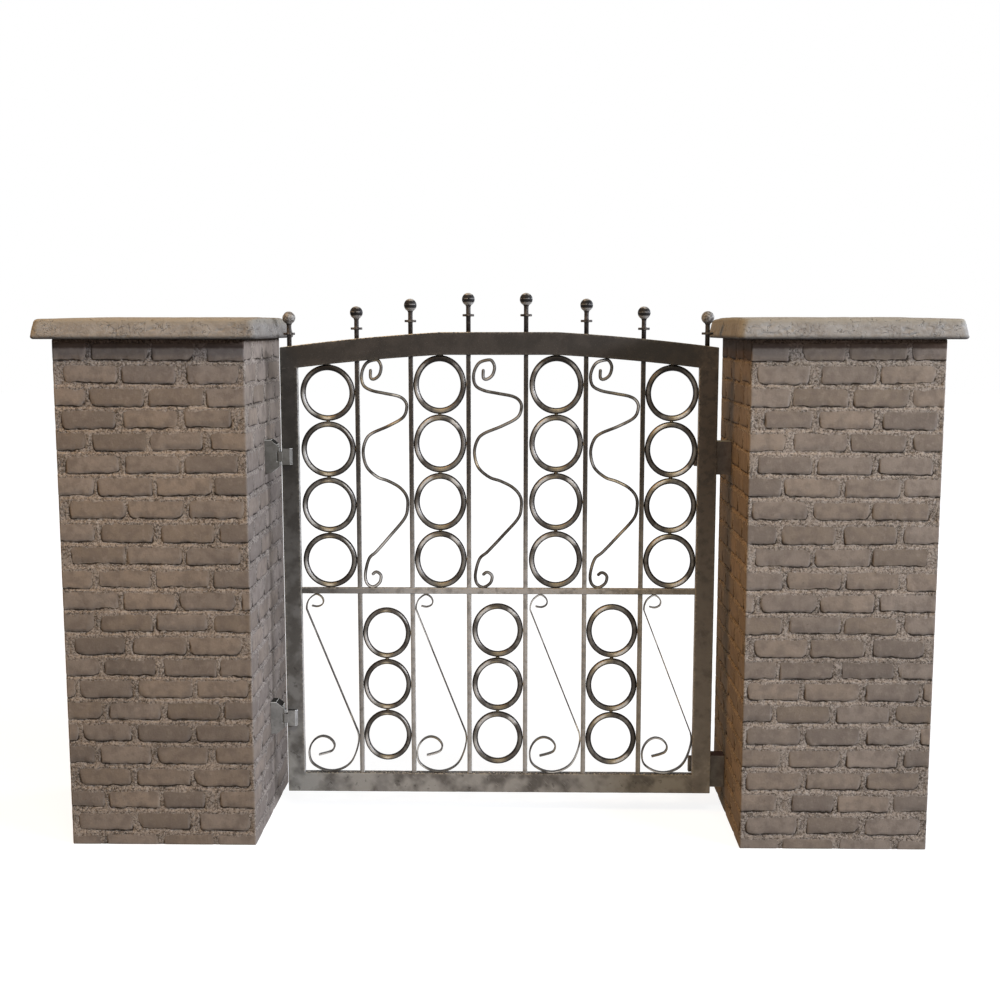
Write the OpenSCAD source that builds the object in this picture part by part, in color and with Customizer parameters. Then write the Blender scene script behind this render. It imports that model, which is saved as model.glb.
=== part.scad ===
// Metal garden gate: one leaf of rings and scrolls hung between two square brick pillars.
// X runs along the gate from the hinge side to the stop side, Y from front to back, Z is up.
// The origin is on the ground, midway between the pillars and at the middle of their depth.

/* [Pillars] */
// Clear width between the pillars
opening_w = 1620; // [1350:5:1950]
// Width and depth of each square pillar
pillar_w = 620; // [500:5:750]
// Height of the brickwork
pillar_h = 1690; // [1400:5:2030]
// Thickness of the capping stones in the middle
cap_t = 71; // [50:1:100]
// How far the caps stand proud of the brickwork at the front, the back and the gateway
cap_overhang = 48; // [20:1:50]
// How far the caps stand proud on the side away from the gateway
cap_outer_overhang = 59; // [20:1:80]
// Inward lean of the cap sides from bottom to top
cap_lean = 9; // [5:1:30]
// Fall of the cap tops from the level middle to every edge but the gateway one
cap_fall = 6; // [0:1:15]
// Width of the sloping margin of the cap tops
cap_margin = 190; // [100:5:250]
// Radius of the rounded upper edges of the caps
cap_nose_r = 15; // [5:1:20]
// Radius of the rounded lower edges of the caps
cap_foot_r = 9; // [3:1:12]

/* [Leaf frame] */
// Gap between the leaf and each pillar
side_gap = 56; // [50:1:75]
// Clearance under the leaf
ground_gap = 76; // [30:1:150]
// Height of the leaf at its outer corners
leaf_h = 1583.5; // [1300:0.5:1900]
// Thickness of the frame from front to back
frame_t = 30; // [25:1:40]
// Distance of the frame's mid-plane behind the middle of the pillars
leaf_y = 20; // [0:1:40]
// Face width of the hinge stile
stile_w = 59; // [40:1:80]
// Face width of the free stile
free_stile_w = 65; // [40:1:80]
// Face height of the top rail
top_rail_h = 78; // [40:1:95]
// Face height of the bottom rail
bottom_rail_h = 69; // [40:1:90]
// Rise of the arched top rail from its ends to its middle
arch_rise = 52; // [48:1:120]
// Length of the level stretch in the middle of the arch
arch_flat = 400; // [200:5:600]
// Slope at which the arch breaks away from its level stretch
arch_break = 3.3; // [0:0.1:3.8]

/* [Bars] */
// Side of the square upright bars
bar_w = 16; // [12:1:22]
// Face height of the middle rail
middle_rail_h = 21; // [15:1:30]
// Depth of the middle rail from front to back
middle_rail_t = 20; // [16:1:26]
// Height of the middle rail's top above the foot of the leaf
middle_rail_z = 742; // [600:1:900]

/* [Rings] */
// Diameter of the round bar the upper rings are bent from
upper_ring_bar = 20; // [12:1:24]
// Diameter of the round bar in each column of lower rings
lower_ring_bar = [18, 20, 20]; // [12:1:24]
// Gap on the hinge side of each column of upper rings
upper_ring_side_gap = [7.4, 0.3, 3.4, 0.3]; // [0.3:0.1:12]
// Gap on the hinge side of each column of lower rings
lower_ring_side_gap = [0.3, 2, 0.3]; // [0.3:0.1:12]
// Gap between one upper ring and the next
upper_ring_gap = 1; // [1:0.5:6]
// Gap between one lower ring and the next
lower_ring_gap = 2.5; // [1:0.5:8]
// Space left under each column of lower rings
lower_ring_foot_gap = [45, 33, 32]; // [1:1:80]
// Space left over each column of lower rings
lower_ring_head_gap = [50, 34, 35]; // [1:1:80]

/* [Scrolls] */
// Diameter of the round bar of the wave scrolls
wave_bar = 12; // [6:0.5:14]
// Gap on the hinge side of each wave scroll
wave_side_gap = [0.3, 2.6, 0.9]; // [0.3:0.1:20]
// Thickness of the flat bar of the S scrolls
strip_t = 6; // [3:0.5:8]
// Width of the flat bar of the S scrolls, front to back
strip_w = 16; // [10:1:24]
// Gap on the hinge side of each S scroll
s_scroll_side_gap = [12.4, 0.3, 5.4, 2.4]; // [0.3:0.1:20]

/* [Finials] */
// Diameter of the balls
ball_d = 44; // [30:1:50]
// Diameter of the round stems
stem_d = 16; // [10:1:18]
// Diameter of the collars
collar_d = 40; // [24:1:44]
// Thickness of the collars
collar_t = 8; // [3:1:10]
// Distance from the top of a ball down to its collar
ball_drop = 80; // [60:1:90]

/* [Hinges and stops] */
// Height of a bracket where it meets the pillar
bracket_h = 116; // [90:1:150]
// Height of a bracket's narrow end
bracket_end_h = 57; // [50:1:70]
// Depth of a bracket from front to back
bracket_depth = 57; // [40:1:70]
// Diameter of the hinge pins
pin_d = 8; // [6:0.5:9]
// Clearance round the hinge pins
pin_fit = 0.3; // [0.2:0.1:0.5]
// Outside diameter of the hinge eyes
eye_d = 14; // [13:0.5:15]
// Height of the upper hinge's middle above the foot of the leaf
upper_hinge_z = 1207; // [1100:1:1300]
// Height of the lower hinge's middle above the foot of the leaf
lower_hinge_z = 274; // [150:1:400]
// Length of a strap over the front of the hinge stile
strap_l = 33; // [20:1:40]
// Bevel down the strap's outer end
strap_bevel = 8; // [2:1:10]
// Distance the stops stay behind the closed leaf
stop_gap = 6; // [5:0.5:12]
// Height of the upper stop's middle above the ground
upper_stop_z = 1276; // [1100:1:1400]
// Height of the lower stop's middle above the ground
lower_stop_z = 146; // [100:1:300]
// Distance the lower stop's tongue stands above its middle
lower_tongue_rise = 26; // [0:1:30]

/* [Hidden] */

// Overall places
half_opening = opening_w / 2;
half_leaf = half_opening - side_gap;
foot_z = ground_gap;
front_y = leaf_y - frame_t / 2;
back_y = leaf_y + frame_t / 2;
bottom_top_z = foot_z + bottom_rail_h;
middle_top_z = foot_z + middle_rail_z;
middle_low_z = middle_top_z - middle_rail_h;
seat = 0.3;

// The arch is level in the middle, then falls away in a shallow curve to the leaf's corners
arch_run = half_leaf - arch_flat / 2;
arch_slope = tan(arch_break);
arch_bend = (arch_rise - arch_slope * arch_run) / pow(arch_run, 2);
function past_flat(x) = max(0, abs(x) - arch_flat / 2);
function rail_top(x) = foot_z + leaf_h + arch_rise - arch_slope * past_flat(x) - arch_bend * pow(past_flat(x), 2);
function rail_under(x) = rail_top(x) - top_rail_h;
arch_steps = 12;
arch_side = [for (i = [0:arch_steps]) arch_flat / 2 + arch_run * i / arch_steps];
arch_x = concat([for (i = [arch_steps:-1:0]) -arch_side[i]], arch_side);

// Seven bays between the stiles; each bar drifts a little from its even spacing
bays = 7;
bar_drift = [13.7, -0.6, -1.4, -3.1, 3.6, 0.3];
inner_left = -half_leaf + stile_w;
inner_right = half_leaf - free_stile_w;
inner_w = inner_right - inner_left;
even_bay = (inner_w - (bays - 1) * bar_w) / bays;
function bar_x(i) = inner_left + i * even_bay + (i - 0.5) * bar_w + bar_drift[i - 1];
function bay_left(b) = b == 1 ? inner_left : bar_x(b - 1) + bar_w / 2;
function bay_right(b) = b == bays ? inner_right : bar_x(b) - bar_w / 2;
function bay_w(b) = bay_right(b) - bay_left(b);

// Finials stand on the stiles and over every bar; each ball top stands this far above the rail
finial_rise = [118, 110, 120, 133, 133, 120, 110, 118];
finials = 8;
first_finial_inset = 32;
last_finial_inset = 39;
function finial_x(i) =
    i == 1 ? -half_leaf + first_finial_inset : i == finials ? half_leaf - last_finial_inset : bar_x(i - 1);
neck_l = 7;

// Hinge pins stand just in front of the leaf's outer corner, so that the leaf swings clear
pin_outset = 7;
pin_forward = 9;
strap_t = 15;
pin_x = -half_leaf - pin_outset;
pin_y = front_y - pin_forward;
strap_front_y = front_y - strap_t;
strap_inset = 5;
eye_gap = 0.5;
eye_h = 34;
eye_clearance = 1.5;
pin_proud = 3;
bracket_flare_x = 20;

// Stops: a block on the pillar beside the leaf, and a thin tongue behind it
stop_side_gap = 3;
stop_slope_l = 32;
tongue_past_stile = 10;
tongue_t = 16;

// How far cutting shapes run past what they cut
over_cut = 1;

// Bent outlines: across from -1 to 1 and up from 0 to 1, smoothed into curves
wave_bends = [
    [-0.592, 0.961], [-0.592, 0.923], [-0.433, 0.917], [-0.215, 0.934], [-0.126, 0.966], [-0.196, 0.99],
    [-0.354, 1], [-0.77, 0.986], [-0.988, 0.941], [-0.929, 0.892], [-0.572, 0.868], [0.022, 0.855],
    [0.607, 0.843], [0.894, 0.825], [0.993, 0.795], [0.825, 0.751], [0.191, 0.714], [-0.562, 0.681],
    [-0.849, 0.65], [-0.968, 0.596], [-0.81, 0.533], [-0.354, 0.49], [0.131, 0.472], [0.636, 0.444],
    [0.943, 0.406], [0.993, 0.36], [0.854, 0.307], [0.191, 0.228], [-0.414, 0.16], [-0.76, 0.127],
    [-0.939, 0.06], [-0.879, 0.017], [-0.612, 0], [-0.315, 0.018], [-0.235, 0.048], [-0.354, 0.064],
    [-0.493, 0.066], [-0.641, 0.053]
];
s_head_bends = [
    [-0.79, 0.937], [-0.57, 0.932], [-0.38, 0.943], [-0.33, 0.965], [-0.42, 0.988], [-0.62, 1],
    [-0.87, 0.976], [-0.98, 0.945], [-1, 0.918]
];
s_foot_bends = [
    [0.97, 0.226], [1, 0.18], [0.9, 0.116], [0.69, 0.054], [0.37, 0.017], [-0.07, 0],
    [-0.52, 0.011], [-0.9, 0.048], [-1, 0.1], [-0.93, 0.147], [-0.74, 0.182], [-0.49, 0.198],
    [-0.24, 0.192], [-0.06, 0.172], [0.02, 0.146], [-0.05, 0.12], [-0.24, 0.106], [-0.61, 0.092]
];

// A smooth curve through the points p: each stretch is the cubic whose slopes run along its neighbours
function at(p, i) = p[min(max(i, 0), len(p) - 1)];
function blend(a, b, c, d, t) =
    0.5 * (2 * b + (c - a) * t + (2 * a - 5 * b + 4 * c - d) * t * t + (3 * b - a - 3 * c + d) * t * t * t);
function curve(p, steps) = concat(
    [for (i = [0:len(p) - 2], s = [0:steps - 1]) blend(at(p, i - 1), p[i], p[i + 1], at(p, i + 2), s / steps)],
    [p[len(p) - 1]]
);
function heading(p, i) = (at(p, i + 1) - at(p, i - 1)) / norm(at(p, i + 1) - at(p, i - 1));
function side(p, i) = [-heading(p, i)[1], heading(p, i)[0]];
function fitted(p, left, width, low, height) =
    [for (q = p) [left + width * (q[0] + 1) / 2, low + height * q[1]]];

module plate(y0, y1) {
    translate([0, y1, 0])
        rotate([90, 0, 0])
            linear_extrude(y1 - y0)
                children();
}

module pillar(x0) {
    color("rosybrown")
        translate([x0, -pillar_w / 2, 0])
            cube([pillar_w, pillar_w, pillar_h]);
}

module left_pillar() {
    pillar(-half_opening - pillar_w);
}

module right_pillar() {
    pillar(half_opening);
}

arc_steps = 5;
function arc(x, z, r, from, to) =
    [for (i = [0:arc_steps]) let (a = from + (to - from) * i / arc_steps) [x + r * cos(a), z + r * sin(a)]];

// Half of a cap's section: rounded foot, leaning edge, rounded nose, then a gentle rise to the level middle
function cap_half(reach, fall) =
    concat(
        arc(reach - cap_foot_r, cap_foot_r, cap_foot_r, -90, 0),
        arc(reach - cap_lean - cap_nose_r, cap_t - fall - cap_nose_r, cap_nose_r, 0, 90),
        [[reach - cap_margin, cap_t]]
    );

module cap_profile(left, right) {
    mirrored = [for (i = [len(left) - 1:-1:0]) [-left[i][0], left[i][1]]];
    polygon(concat(right, mirrored));
}

// The front and back sides and the two other sides are cut by two crossed plates
module left_pillar_cap() {
    reach = pillar_w / 2 + cap_overhang;
    outer_reach = pillar_w / 2 + cap_outer_overhang;
    color("tan")
        translate([-half_opening - pillar_w / 2, 0, pillar_h])
            intersection() {
                plate(-reach, reach)
                    cap_profile(cap_half(outer_reach, cap_fall), cap_half(reach, 0));
                rotate([0, 0, 90])
                    plate(-outer_reach, outer_reach)
                        cap_profile(cap_half(reach, cap_fall), cap_half(reach, cap_fall));
            }
}

module right_pillar_cap() {
    mirror([1, 0, 0])
        left_pillar_cap();
}

// Outline of the arched top rail, seen from the front
module top_rail_face() {
    over = [for (x = arch_x) [x, rail_top(x)]];
    under = [for (i = [len(arch_x) - 1:-1:0]) [arch_x[i], rail_under(arch_x[i])]];
    polygon(concat(over, under));
}

module top_rail() {
    color("dimgray")
        plate(front_y, back_y)
            top_rail_face();
}

// Cuts what is passed to it along the outline of the top rail
module fitted_to_top_rail() {
    difference() {
        children();
        plate(front_y - over_cut, back_y + over_cut)
            top_rail_face();
    }
}

// A stile runs from the foot of the leaf up to the sloping underside of the top rail
module stile(x0, w) {
    color("dimgray")
        fitted_to_top_rail()
            translate([x0, front_y, foot_z])
                cube([w, frame_t, leaf_h - top_rail_h / 2]);
}

module hinge_stile() {
    stile(-half_leaf, stile_w);
}

module free_stile() {
    stile(inner_right, free_stile_w);
}

module bottom_rail() {
    color("dimgray")
        translate([inner_left, front_y, foot_z])
            cube([inner_w, frame_t, bottom_rail_h]);
}

// The middle rail is halved over the bars: it is whole in front and notched behind
module middle_rail() {
    color("dimgray")
        difference() {
            translate([inner_left, leaf_y - middle_rail_t / 2, middle_low_z])
                cube([inner_w, middle_rail_t, middle_rail_h]);
            for (i = [1:bays - 1])
                translate([bar_x(i) - bar_w / 2, leaf_y, middle_low_z - over_cut])
                    cube([bar_w, middle_rail_t, middle_rail_h + 2 * over_cut]);
        }
}

// An upright bar, cut to the slope of the rail over it and notched where the middle rail crosses
module bar(i) {
    x0 = bar_x(i) - bar_w / 2;
    h = rail_top(bar_x(i)) - top_rail_h / 2 - bottom_top_z;
    color("gray")
        fitted_to_top_rail()
            difference() {
                translate([x0, leaf_y - bar_w / 2, bottom_top_z])
                    cube([bar_w, bar_w, h]);
                translate([x0 - over_cut, leaf_y - bar_w, middle_low_z])
                    cube([bar_w + 2 * over_cut, bar_w, middle_rail_h]);
            }
}

// A finial: round stem, flat collar, short neck and ball, cut off along the top of the rail
module finial(i) {
    top_z = rail_top(finial_x(i)) + finial_rise[i - 1];
    ball_z = top_z - ball_d / 2;
    collar_z = top_z - ball_drop;
    stem_low_z = rail_top(finial_x(i)) - top_rail_h / 4;
    color("dimgray")
        fitted_to_top_rail()
            translate([finial_x(i), leaf_y, 0])
                union() {
                    translate([0, 0, stem_low_z])
                        cylinder(d = stem_d, h = ball_z - stem_low_z, $fn = 48);
                    translate([0, 0, collar_z])
                        cylinder(d = collar_d, h = collar_t, $fn = 64);
                    translate([0, 0, ball_z - ball_d / 2 - neck_l / 2])
                        cylinder(d1 = stem_d, d2 = ball_d / 2, h = neck_l, $fn = 48);
                    translate([0, 0, ball_z])
                        sphere(d = ball_d, $fn = 64);
                }
}

// A round-bar ring lying in the leaf's plane, w wide and drawn a little taller to h
module ring(w, h, bar) {
    scale([1, 1, h / w])
        rotate([90, 0, 0])
            rotate_extrude($fn = 96)
                translate([(w - bar) / 2, 0])
                    circle(d = bar, $fn = 32);
}

// A stack of rings set against the bar or stile on the stop side of bay b
module ring_column(b, w, h, bar, low_z, count, gap) {
    color("slategray")
        for (k = [0:count - 1])
            translate([bay_right(b) - seat - w / 2, leaf_y, low_z + h / 2 + k * (h + gap)])
                ring(w, h, bar);
}

// Upper rings fill the height between the middle rail and the top rail
module upper_ring_column(i) {
    count = 4;
    b = 2 * i - 1;
    w = bay_w(b) - seat - upper_ring_side_gap[i - 1];
    centre_x = bay_right(b) - seat - w / 2;
    arch_seat = 2 * seat;
    height = rail_under(centre_x) - arch_seat - middle_top_z - seat;
    h = (height - (count - 1) * upper_ring_gap) / count;
    ring_column(b, w, h, upper_ring_bar, middle_top_z + seat, count, upper_ring_gap);
}

// Lower rings stand between the middle and bottom rails, clear of both
module lower_ring_column(i) {
    count = 3;
    b = 2 * i;
    w = bay_w(b) - seat - lower_ring_side_gap[i - 1];
    low_z = bottom_top_z + lower_ring_foot_gap[i - 1];
    height = middle_low_z - lower_ring_head_gap[i - 1] - low_z;
    h = (height - (count - 1) * lower_ring_gap) / count;
    ring_column(b, w, h, lower_ring_bar[i - 1], low_z, count, lower_ring_gap);
}

// A round bar carried along the curve p in the leaf's plane
module round_bar(p, d) {
    sides = 8;
    last = len(p) - 1;
    points = [
        for (i = [0:last], k = [0:sides - 1])
            let (a = 360 * k / sides, s = side(p, i) * cos(a) * d / 2)
                [p[i][0] + s[0], leaf_y + sin(a) * d / 2, p[i][1] + s[1]]
    ];
    walls = [
        for (i = [0:last - 1], k = [0:sides - 1])
            let (n = (k + 1) % sides)
                [i * sides + k, (i + 1) * sides + k, (i + 1) * sides + n, i * sides + n]
    ];
    first_end = [[for (k = [0:sides - 1]) k]];
    last_end = [[for (k = [sides - 1:-1:0]) last * sides + k]];
    polyhedron(points = points, faces = concat(walls, first_end, last_end), convexity = 10);
}

// A wave scroll winds from the middle rail up to the top rail, with a small curl at each end
module wave_scroll(i) {
    b = 2 * i;
    w = bay_w(b) - seat - wave_side_gap[i - 1];
    left = bay_right(b) - seat - w + wave_bar / 2;
    low_z = middle_top_z + seat + wave_bar / 2;
    curl_at = 0.3;
    curl_x = bay_left(2) + bay_w(2) * curl_at;
    height = rail_under(curl_x) - seat - wave_bar / 2 - low_z;
    color("slategray")
        round_bar(curve(fitted(wave_bends, left, w - wave_bar, low_z, height), 2), wave_bar);
}

// An S scroll of flat bar: a curl under the middle rail, a straight, and a wide curl at the foot
module s_scroll(i) {
    b = 2 * i - 1;
    w = bay_w(b) - seat - s_scroll_side_gap[i - 1];
    left = bay_right(b) - seat - w + strip_t / 2;
    low_z = bottom_top_z + seat + strip_t / 2;
    height = middle_low_z - seat - strip_t / 2 - low_z;
    head = curve(fitted(s_head_bends, left, w - strip_t, low_z, height), 4);
    foot = curve(fitted(s_foot_bends, left, w - strip_t, low_z, height), 4);
    p = concat(head, foot);
    last = len(p) - 1;
    color("slategray")
        plate(leaf_y - strip_w / 2, leaf_y + strip_w / 2)
            polygon(concat(
                [for (i = [0:last]) p[i] + side(p, i) * strip_t / 2],
                [for (i = [last:-1:0]) p[i] - side(p, i) * strip_t / 2]
            ));
}

// Flared bracket face: full height on the pillar, sloping down to a narrow end at end_x
module flare(pillar_x, slope_x, end_x) {
    h = bracket_h / 2;
    e = bracket_end_h / 2;
    polygon([[pillar_x, -h], [slope_x, -h], [end_x, -e], [end_x, e], [slope_x, h], [pillar_x, h]]);
}

module pin_bore(h) {
    translate([pin_x, pin_y, 0])
        cylinder(d = pin_d + 2 * pin_fit, h = h, center = true, $fn = 48);
}

// A hinge bracket: deep flared block on the pillar, reaching forward to two eyes round the pin
module hinge_bracket(z) {
    clear_x = pin_x - eye_d / 2 - eye_clearance;
    color("gray")
        translate([0, 0, z])
            difference() {
                intersection() {
                    union() {
                        translate([-half_opening, strap_front_y, -bracket_h / 2])
                            cube([clear_x + half_opening, bracket_depth, bracket_h]);
                        translate([-half_opening, strap_front_y, -bracket_h / 2])
                            cube([pin_x + half_opening, pin_y + eye_d / 2 - strap_front_y, bracket_h]);
                        translate([pin_x, pin_y, 0])
                            cylinder(d = eye_d, h = bracket_h, center = true, $fn = 48);
                    }
                    plate(strap_front_y - eye_d, strap_front_y + bracket_depth + over_cut)
                        flare(-half_opening, -half_opening + bracket_flare_x, pin_x + eye_d / 2);
                }
                translate([clear_x, strap_front_y - over_cut, -eye_h / 2 - eye_gap])
                    cube([2 * eye_d, bracket_depth + 2 * over_cut, eye_h + 2 * eye_gap]);
                pin_bore(bracket_h);
            }
}

module upper_hinge_bracket() {
    hinge_bracket(foot_z + upper_hinge_z);
}

module lower_hinge_bracket() {
    hinge_bracket(foot_z + lower_hinge_z);
}

// A hinge pin: plain round rod through the three eyes
module hinge_pin(z) {
    color("silver")
        translate([pin_x, pin_y, z])
            cylinder(d = pin_d, h = bracket_end_h + 2 * pin_proud, center = true, $fn = 48);
}

module upper_hinge_pin() {
    hinge_pin(foot_z + upper_hinge_z);
}

module lower_hinge_pin() {
    hinge_pin(foot_z + lower_hinge_z);
}

// Plan of a strap's plate, its front corner bevelled at the outer end
module strap_plan(x0) {
    x1 = x0 + strap_l;
    polygon([
        [x0, front_y], [x0, strap_front_y], [x1 - strap_bevel, strap_front_y],
        [x1, strap_front_y + strap_bevel], [x1, front_y]
    ]);
}

// A strap: thick plate on the front of the hinge stile with one eye between the bracket's two
module hinge_strap(z) {
    plate_x = -half_leaf + strap_inset;
    color("gray")
        translate([0, 0, z])
            difference() {
                union() {
                    translate([0, 0, -bracket_end_h / 2])
                        linear_extrude(bracket_end_h)
                            strap_plan(plate_x);
                    translate([pin_x, pin_y - eye_d / 2, -eye_h / 2])
                        cube([plate_x - pin_x, front_y - pin_y + eye_d / 2, eye_h]);
                    translate([pin_x, pin_y, 0])
                        cylinder(d = eye_d, h = eye_h, center = true, $fn = 48);
                }
                pin_bore(bracket_h);
            }
}

module upper_hinge_strap() {
    hinge_strap(foot_z + upper_hinge_z);
}

module lower_hinge_strap() {
    hinge_strap(foot_z + lower_hinge_z);
}

// A stop: the same flared bracket on the far pillar, reaching behind the closed leaf with a thin tongue
module stop_bracket(z, tongue_rise) {
    block_x = half_leaf + stop_side_gap;
    tongue_x = inner_right - tongue_past_stile;
    y0 = back_y + stop_gap;
    h = bracket_h / 2;
    e = bracket_end_h / 2;
    color("gray")
        translate([0, 0, z])
            union() {
                translate([block_x, y0, -h])
                    cube([half_opening - block_x, bracket_depth, bracket_h]);
                plate(y0, y0 + tongue_t)
                    polygon([
                        [block_x, -h], [block_x, h],
                        [block_x - stop_slope_l, tongue_rise + e], [tongue_x, tongue_rise + e],
                        [tongue_x, tongue_rise - e], [block_x - stop_slope_l, tongue_rise - e]
                    ]);
            }
}

module upper_stop_bracket() {
    stop_bracket(upper_stop_z, 0);
}

module lower_stop_bracket() {
    stop_bracket(lower_stop_z, lower_tongue_rise);
}

left_pillar();
left_pillar_cap();
right_pillar();
right_pillar_cap();
upper_hinge_bracket();
lower_hinge_bracket();
upper_hinge_pin();
lower_hinge_pin();
upper_stop_bracket();
lower_stop_bracket();
upper_hinge_strap();
lower_hinge_strap();
hinge_stile();
free_stile();
top_rail();
middle_rail();
bottom_rail();
for (i = [1:6]) bar(i);
for (i = [1:8]) finial(i);
for (i = [1:4]) upper_ring_column(i);
for (i = [1:3]) lower_ring_column(i);
for (i = [1:3]) wave_scroll(i);
for (i = [1:4]) s_scroll(i);
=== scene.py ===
import math

import bmesh
import bpy
import numpy as np
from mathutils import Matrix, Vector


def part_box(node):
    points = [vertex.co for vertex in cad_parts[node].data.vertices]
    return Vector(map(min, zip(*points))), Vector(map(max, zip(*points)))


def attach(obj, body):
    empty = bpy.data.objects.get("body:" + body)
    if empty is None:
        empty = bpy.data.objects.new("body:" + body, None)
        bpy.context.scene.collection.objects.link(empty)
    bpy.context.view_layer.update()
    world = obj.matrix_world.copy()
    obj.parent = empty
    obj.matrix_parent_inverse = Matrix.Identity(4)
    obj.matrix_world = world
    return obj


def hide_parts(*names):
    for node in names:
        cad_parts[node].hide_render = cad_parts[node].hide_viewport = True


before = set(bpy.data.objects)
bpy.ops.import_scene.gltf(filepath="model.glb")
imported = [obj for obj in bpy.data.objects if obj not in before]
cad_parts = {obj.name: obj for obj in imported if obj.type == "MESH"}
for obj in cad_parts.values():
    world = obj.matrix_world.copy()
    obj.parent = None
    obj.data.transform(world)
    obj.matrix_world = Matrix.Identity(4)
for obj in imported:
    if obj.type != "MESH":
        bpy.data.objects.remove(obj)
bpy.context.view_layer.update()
print("frame loaded")

mm = 0.001
scene = bpy.context.scene

# camera

cameraSetup = {
    "place": (0.0851, -4.55, 1.7256),
    "pitchDown": 0.1296,
    "turnLeft": 0.0177,
    "lens": 47.54,
    "sensor": 36,
}


def makeCamera(setup):
    data = bpy.data.cameras.new("gateCamera")
    data.lens = setup["lens"]
    data.sensor_width = setup["sensor"]
    camera = bpy.data.objects.new("gateCamera", data)
    camera.location = setup["place"]
    camera.rotation_euler = (math.pi / 2 - setup["pitchDown"], 0, setup["turnLeft"])
    scene.collection.objects.link(camera)
    scene.camera = camera


makeCamera(cameraSetup)
print("camera placed")

# surface tools

# large odd numbers that scramble a lattice corner's three counts and the seed, and then their sum
cornerPrimes = (374761393, 668265263, 1442695041, 974634777)
sumPrimes = (1274126177, 2246822519)
weldReach = 2e-6


def smoothStep(low, high, x):
    # climbs from 0 at low to 1 at high along 3t^2 - 2t^3
    t = np.clip((x - low) / (high - low), 0, 1)
    return t * t * (3 - 2 * t)


def latticeNoise(points, size, seed):
    # random heights at the corners of a lattice of that size, blended along each axis; runs from -1 to 1
    q = np.asarray(points) / size
    cell = np.floor(q).astype(np.int64)
    f = q - cell
    f = f * f * (3 - 2 * f)

    def height(dx, dy, dz):
        n = (cell[..., 0] + dx) * cornerPrimes[0] + (cell[..., 1] + dy) * cornerPrimes[1]
        n = (n + (cell[..., 2] + dz) * cornerPrimes[2] + seed * cornerPrimes[3]) & 0xFFFFFFFF
        n = ((n ^ (n >> 13)) * sumPrimes[0]) & 0xFFFFFFFF
        n = ((n ^ (n >> 15)) * sumPrimes[1]) & 0xFFFFFFFF
        return ((n ^ (n >> 16)) & 0xFFFFFF) / 0x7FFFFF - 1

    def along(a, b, t):
        return a + (b - a) * t

    def layer(dz):
        return along(along(height(0, 0, dz), height(1, 0, dz), f[..., 0]),
                     along(height(0, 1, dz), height(1, 1, dz), f[..., 0]), f[..., 1])

    return along(layer(0), layer(1), f[..., 2])


def layeredNoise(points, size, seed, layers=3):
    # lattice noise added to itself at half the size and half the height, again and again
    total = 0
    for k in range(layers):
        total = total + latticeNoise(points, size / 2 ** k, seed + 17 * k) / 2 ** k
    return total / (2 - 2 / 2 ** layers)


def around(count):
    # angles at even steps round a full turn
    return np.arange(count) / count * 2 * math.pi


def roundCorners(side, t, reachX, reachY, rounding):
    # places along a rectangle's four sides in turn, where t goes from -1 to 1 on each: the nearest place of
    # the rectangle that is smaller by the rounding, and the direction outwards from it
    sx = np.choose(side, [t, 1, -t, -1]) * reachX
    sy = np.choose(side, [-1, t, 1, -t]) * reachY
    cx = np.clip(sx, rounding - reachX, reachX - rounding)
    cy = np.clip(sy, rounding - reachY, reachY - rounding)
    length = np.maximum(np.hypot(sx - cx, sy - cy), 1e-9)
    return cx, cy, (sx - cx) / length, (sy - cy) / length


def joinedGrids(surfaces):
    # each grid is places [along, round, 3]; quads join neighbours, and the last column joins the first
    quads, start = [], 0
    for points, fields in surfaces:
        rows, columns = points.shape[:2]
        index = start + np.arange(rows * columns).reshape(rows, columns)
        right = np.roll(index, -1, axis=1)
        quads.append(np.stack([index[:-1], index[1:], right[1:], right[:-1]], axis=-1).reshape(-1, 4))
        start += rows * columns
    places = np.concatenate([points.reshape(-1, 3) for points, fields in surfaces])
    values = {}
    for k in surfaces[0][1]:
        values[k] = np.concatenate([np.broadcast_to(f[k], p.shape[:2]).ravel() for p, f in surfaces])
    return places, np.concatenate(quads), values


def withPoles(points, fields):
    # adds a row at each end that has shrunk to the middle of the end row, which closes the surface
    first, last = [np.broadcast_to(points[k].mean(axis=0), points[0].shape)[None] for k in (0, -1)]
    grown = {}
    for k, v in fields.items():
        v = np.broadcast_to(v, points.shape[:2])
        grown[k] = np.concatenate([v[:1], v, v[-1:]])
    return np.concatenate([first, points, last]), grown


def makePiece(name, surfaces, material, body, nodes):
    # puts closed grids into one mesh, their values into point attributes, welds poles and faces it outwards
    places, quads, values = joinedGrids(surfaces)
    mesh = bpy.data.meshes.new(name)
    mesh.vertices.add(len(places))
    mesh.vertices.foreach_set("co", places.astype(np.float32).ravel())
    mesh.loops.add(quads.size)
    mesh.loops.foreach_set("vertex_index", quads.astype(np.int32).ravel())
    mesh.polygons.add(len(quads))
    mesh.polygons.foreach_set("loop_start", np.arange(0, quads.size, 4, dtype=np.int32))
    mesh.update(calc_edges=True)
    for k, v in values.items():
        mesh.attributes.new(k, "FLOAT", "POINT").data.foreach_set("value", v.astype(np.float32))
    work = bmesh.new()
    work.from_mesh(mesh)
    bmesh.ops.remove_doubles(work, verts=work.verts, dist=weldReach)
    if work.calc_volume(signed=True) < 0:
        bmesh.ops.reverse_faces(work, faces=work.faces)
    work.to_mesh(mesh)
    work.free()
    mesh.polygons.foreach_set("use_smooth", np.full(len(mesh.polygons), True))
    mesh.materials.append(material)
    piece = bpy.data.objects.new(name, mesh)
    scene.collection.objects.link(piece)
    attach(piece, body)
    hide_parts(*nodes)


# material tools


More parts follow.
